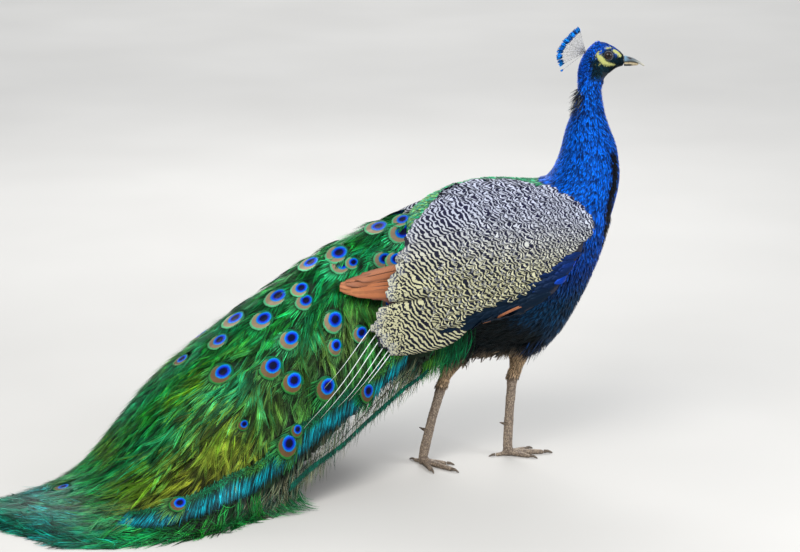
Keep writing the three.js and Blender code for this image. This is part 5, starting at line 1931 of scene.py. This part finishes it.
# Painted highlight: the pale blue at the base. The darker blue-grey, grey and pale horn after it are the
# bill's own.
bill_tone_and_highlight = bill.ramp(
    from_base + bill.noise(260, 2) * 0.12, (0.06, srgb(104, 140, 164)), (0.3, srgb(70, 84, 94)),
    (0.62, srgb(96, 104, 106)), (0.95, srgb(170, 166, 150)))
bill.bump(bill.noise(420, 3), 0.0004, 0.5)
bill.feed(base_color=bill_tone_and_highlight)
lower_bill = Finish("lower_bill_horn", roughness=0.4)
lower_tone = lower_bill.ramp(lower_bill.noise(300, 2), (0.3, srgb(144, 128, 100)), (0.7, srgb(172, 160, 128)))
bill_low, bill_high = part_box("bill_lower")
chin_top = float(bill_low[2] + 0.62 * (bill_high[2] - bill_low[2]))
chin_end = float(bill_low[0] + 0.62 * (bill_high[0] - bill_low[0]))
chin = lower_bill.position().part(2).step(chin_top, chin_top - 1.2 * MM)
chin = chin * lower_bill.position().part(0).step(chin_end, chin_end - 5 * MM)
lower_bill.feed(base_color=lower_bill.mix(chin, lower_tone, srgb(8, 22, 34)))
smooth_copy("upper_bill", ["bill_upper"], 0.45, 3, bill.material, "horn")
smooth_copy("lower_bill", ["bill_lower"], 0.45, 3, lower_bill.material, "horn")


# %% The nostrils
def small_piece(name, shape, finish, slot, nodes=()):
    """A bmesh already in its place, as a dressed piece with a plain OFBake map from its side view."""
    bmesh.ops.remove_doubles(shape, verts=shape.verts, dist=1e-6)
    bmesh.ops.recalc_face_normals(shape, faces=shape.faces)
    mesh = bpy.data.meshes.new(name)
    shape.to_mesh(mesh)
    shape.free()
    mesh.polygons.foreach_set("use_smooth", np.ones(len(mesh.polygons), bool))
    points = vertex_array(mesh)
    flat = points[:, [0, 2]]
    spread = 0.02 + 0.46 * (flat - flat.min(0)) / np.maximum(np.ptp(flat, axis=0), 1e-6)
    spread[:, 0] += np.where(points[:, 1] > ORIGIN[1], 0.5, 0.0)
    paint(mesh, np.full((len(points), 3), 0.2), spread)
    piece = dress(bpy.data.objects.new(name, mesh), finish, slot)
    if nodes:
        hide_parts(*nodes)
    return piece


NOSTRIL = (288.5, 5.2, 751.6)  # of the left one
nostril_finish = Finish("nostrils", roughness=0.5)
nostril_grain = nostril_finish.noise(900)
# Painted shade: the nostrils are dark red-brown ovals that stand for the shade inside the openings.
nostril_opening_shade = nostril_finish.ramp(nostril_grain, (0.3, srgb(26, 14, 14)), (0.7, srgb(56, 30, 28)))
nostril_finish.feed(base_color=nostril_opening_shade)
nostrils = bmesh.new()
for side in (RIGHT, LEFT):
    made = bmesh.ops.create_uvsphere(nostrils, u_segments=16, v_segments=10, radius=1.0)["verts"]
    bmesh.ops.scale(nostrils, vec=Vector((4.6, 1.2, 1.6)) * MM, verts=made)
    bmesh.ops.rotate(nostrils, verts=made, cent=(0, 0, 0), matrix=Matrix.Rotation(np.radians(16), 3, "Y"))
    bmesh.ops.translate(nostrils, vec=Vector(place(NOSTRIL * np.array((1, side, 1)))), verts=made)
small_piece("nostrils", nostrils, nostril_finish.material, "horn")

# %% [markdown]
# ## Eyes
# The eye is nearly all iris, dark brown round a large pupil, under a clear wet surface. A ring of bare lid
# skin sits where the eye meets the face.
# %% Eyeballs and lids
eye_x, _, eye_z = place(EYE_CENTRE)
iris = Finish("eye", roughness=0.12, coat_weight=0.3, coat_roughness=0.02, specular_ior_level=0.15)
away_x = (iris.position().part(0) - float(eye_x)) / MM
away_z = (iris.position().part(2) - float(eye_z)) / MM
away = (away_x * away_x + away_z * away_z) ** 0.5
iris.feed(base_color=iris.ramp(
    away / EYE_RADIUS, (0.0, (0.002, 0.002, 0.003)), (0.36, (0.003, 0.002, 0.002)),
    (0.46, srgb(34, 20, 14)), (0.66, srgb(46, 33, 26)), (0.78, srgb(14, 10, 10))))
for label, side in SIDE_SIGN.items():
    ball = bmesh.new()
    bmesh.ops.create_uvsphere(ball, u_segments=40, v_segments=24, radius=EYE_RADIUS * MM)
    middle = Vector(place((EYE_CENTRE[0], EYE_CENTRE[1] * side, EYE_CENTRE[2])))
    bmesh.ops.translate(ball, vec=middle, verts=ball.verts)
    small_piece("eyeball_" + label, ball, iris.material, "eye", ["eye_" + label])

lid_finish = Finish("eyelids", roughness=0.5)
lid_finish.bump(lid_finish.noise(1500, 2), 0.0004)
lid_tone = lid_finish.ramp(lid_finish.noise(700), (0.35, srgb(16, 22, 36)), (0.7, srgb(84, 88, 96)))
lid_finish.feed(base_color=lid_tone)
LID_RADIUS = 7.9
LID_THICKNESS = 1.5  # from its middle
LID_OUT = 16.8  # how far from the plane of symmetry the lids lie
lids = bmesh.new()
for side in (RIGHT, LEFT):
    middle = Vector(place((EYE_CENTRE[0], LID_OUT * side, EYE_CENTRE[2])))
    made = bmesh.ops.create_circle(lids, segments=10, radius=LID_THICKNESS * MM)["verts"]
    bmesh.ops.translate(lids, vec=middle + Vector((LID_RADIUS * MM, 0, 0)), verts=made)
    edges = list({edge for vert in made for edge in vert.link_edges})
    bmesh.ops.spin(lids, geom=made + edges, cent=middle, axis=(0, 1, 0), angle=2 * np.pi, steps=40,
                   use_merge=True)
small_piece("eyelids", lids, lid_finish.material, "body_plumage")

# %% [markdown]
# ## Crest
# Two dozen stiff plumes stand in a fan on the crown. Each has a bare, pale shaft with a few short hairs and
# ends in a small blue spatula, and together the tips make a thick band.
# %% Shafts
CREST_ROOT = (211, 0, 762)
CREST_PLUMES = 25
CREST_FROM, CREST_TO = 107.0, 207.0  # directions in degrees
CREST_REACH = (49, 45, 45, 47, 51, 54, 54)  # from the foremost plume to the hindmost
STRAY_PLUME = (219.0, 57.0)  # one low plume: its direction in degrees and its reach
direction = np.append(np.linspace(CREST_FROM, CREST_TO, CREST_PLUMES), STRAY_PLUME[0])
reach = np.append(np.interp(np.linspace(0, 6, CREST_PLUMES), range(7), CREST_REACH), STRAY_PLUME[1])
count = len(direction)
lean = rng.uniform(-4.5, 4.5, count)
angle = np.radians(direction)
ray = np.stack([np.cos(angle), np.zeros(count), np.sin(angle)], 1)
sidewise = np.array([0, 1.0, 0])
steps = np.linspace(0, 1, 9)[None, :, None]
plume_lines = (np.array(CREST_ROOT) + ray[:, None] * steps * reach[:, None, None]
               + sidewise * (lean[:, None, None] * steps ** 1.3 + 0.25 * lean[:, None, None]))
plume_ups = np.tile(np.array([0, -1.0, 0]), (count, 9, 1))
plume_places = np.stack([0.04 + 0.92 * np.arange(count) / count, np.full(count, 0.25)], 1)
crest_shaft_finish = Finish("crest_shafts", roughness=0.5)
crest_shaft_finish.feed(base_color=crest_shaft_finish.ramp(
    crest_shaft_finish.noise(500), (0.42, srgb(44, 42, 50)), (0.6, srgb(186, 188, 196))))
shaft_piece = sheets("crest_shafts", place(plume_lines), plume_ups, 0.27 * MM, (1.0, 0.9, 0.8),
                     crest_shaft_finish.material, "crest_plumage", 3, 0.8, plume_places, 0.01,
                     tint=rng.random(count))
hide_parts("crest")

# %% The hairs of the shafts
HAIRS = 14  # on each
owner = np.repeat(np.arange(count), HAIRS)
share = np.tile(np.linspace(0.12, 0.76, HAIRS), count)
start = np.array(CREST_ROOT) + ray[owner] * (reach[owner] * share)[:, None] + sidewise * (
    lean[owner] * share ** 1.3 + 0.25 * lean[owner])[:, None]
flip = np.where(np.arange(len(owner)) % 2 == 0, 1.0, -1.0)[:, None]
square = np.stack([-ray[owner][:, 2], np.zeros(len(owner)), ray[owner][:, 0]], 1)
hair_way = ray[owner] * 0.8 + square * flip * 0.75 + sidewise * rng.normal(0, 0.3, (len(owner), 1))
hair_steps = np.linspace(0, 1, 3)[None, :, None]
hair_lines = start[:, None] + hair_way[:, None] * hair_steps * rng.uniform(2.0, 4.0, (len(owner), 1, 1))
sheets("crest_hairs", place(hair_lines), np.tile([0, -1.0, 0], (len(owner), 3, 1)), 0.15 * MM, BARB,
       crest_shaft_finish.material, "crest_plumage", 2, 0, plume_places[owner], tint=rng.random(len(owner)))

# %% The blue tips
BLADES = 9  # that overlap in each tip
TIP_LENGTH = 11.5
TIP_OUTLINE = (0.5, 0.8, 1.0, 1.0, 0.8, 0.25)
owner = np.repeat(np.arange(count), BLADES)
scale = np.where(owner == count - 1, 0.5, 1)  # the stray plume's tip is small
fan = np.radians(rng.uniform(-16, 16, len(owner)))
tip_length = rng.uniform(8.0, TIP_LENGTH, len(owner)) * scale
base = np.array(CREST_ROOT) + ray[owner] * (reach[owner] - TIP_LENGTH * scale)[:, None]
base = base + sidewise * (1.25 * lean[owner] + rng.normal(0, 1.2, len(owner)))[:, None]
square = np.stack([-ray[owner][:, 2], np.zeros(len(owner)), ray[owner][:, 0]], 1)
blade_way = ray[owner] * np.cos(fan)[:, None] + square * np.sin(fan)[:, None]
blade_steps = np.linspace(0, 1, 6)[None, :, None]
blade_lines = base[:, None] + blade_way[:, None] * blade_steps * tip_length[:, None, None]
blade_ups = unit(np.stack([rng.normal(0, 0.5, len(owner)), -np.ones(len(owner)),
                           rng.normal(0, 0.5, len(owner))], 1))
blade_ups = np.repeat(blade_ups[:, None], 6, 1)
sheets("crest_tips", place(blade_lines), blade_ups, rng.uniform(0.8, 1.6, len(owner)) * MM, TIP_OUTLINE,
       neck_finish, "crest_plumage", 3, 0.3, plume_places[owner] + (0, 0.4),
       dye=blended(rng.random(len(owner)), srgb(0, 104, 220), srgb(0, 140, 225)),
       tint=rng.uniform(0.25, 1, len(owner)))
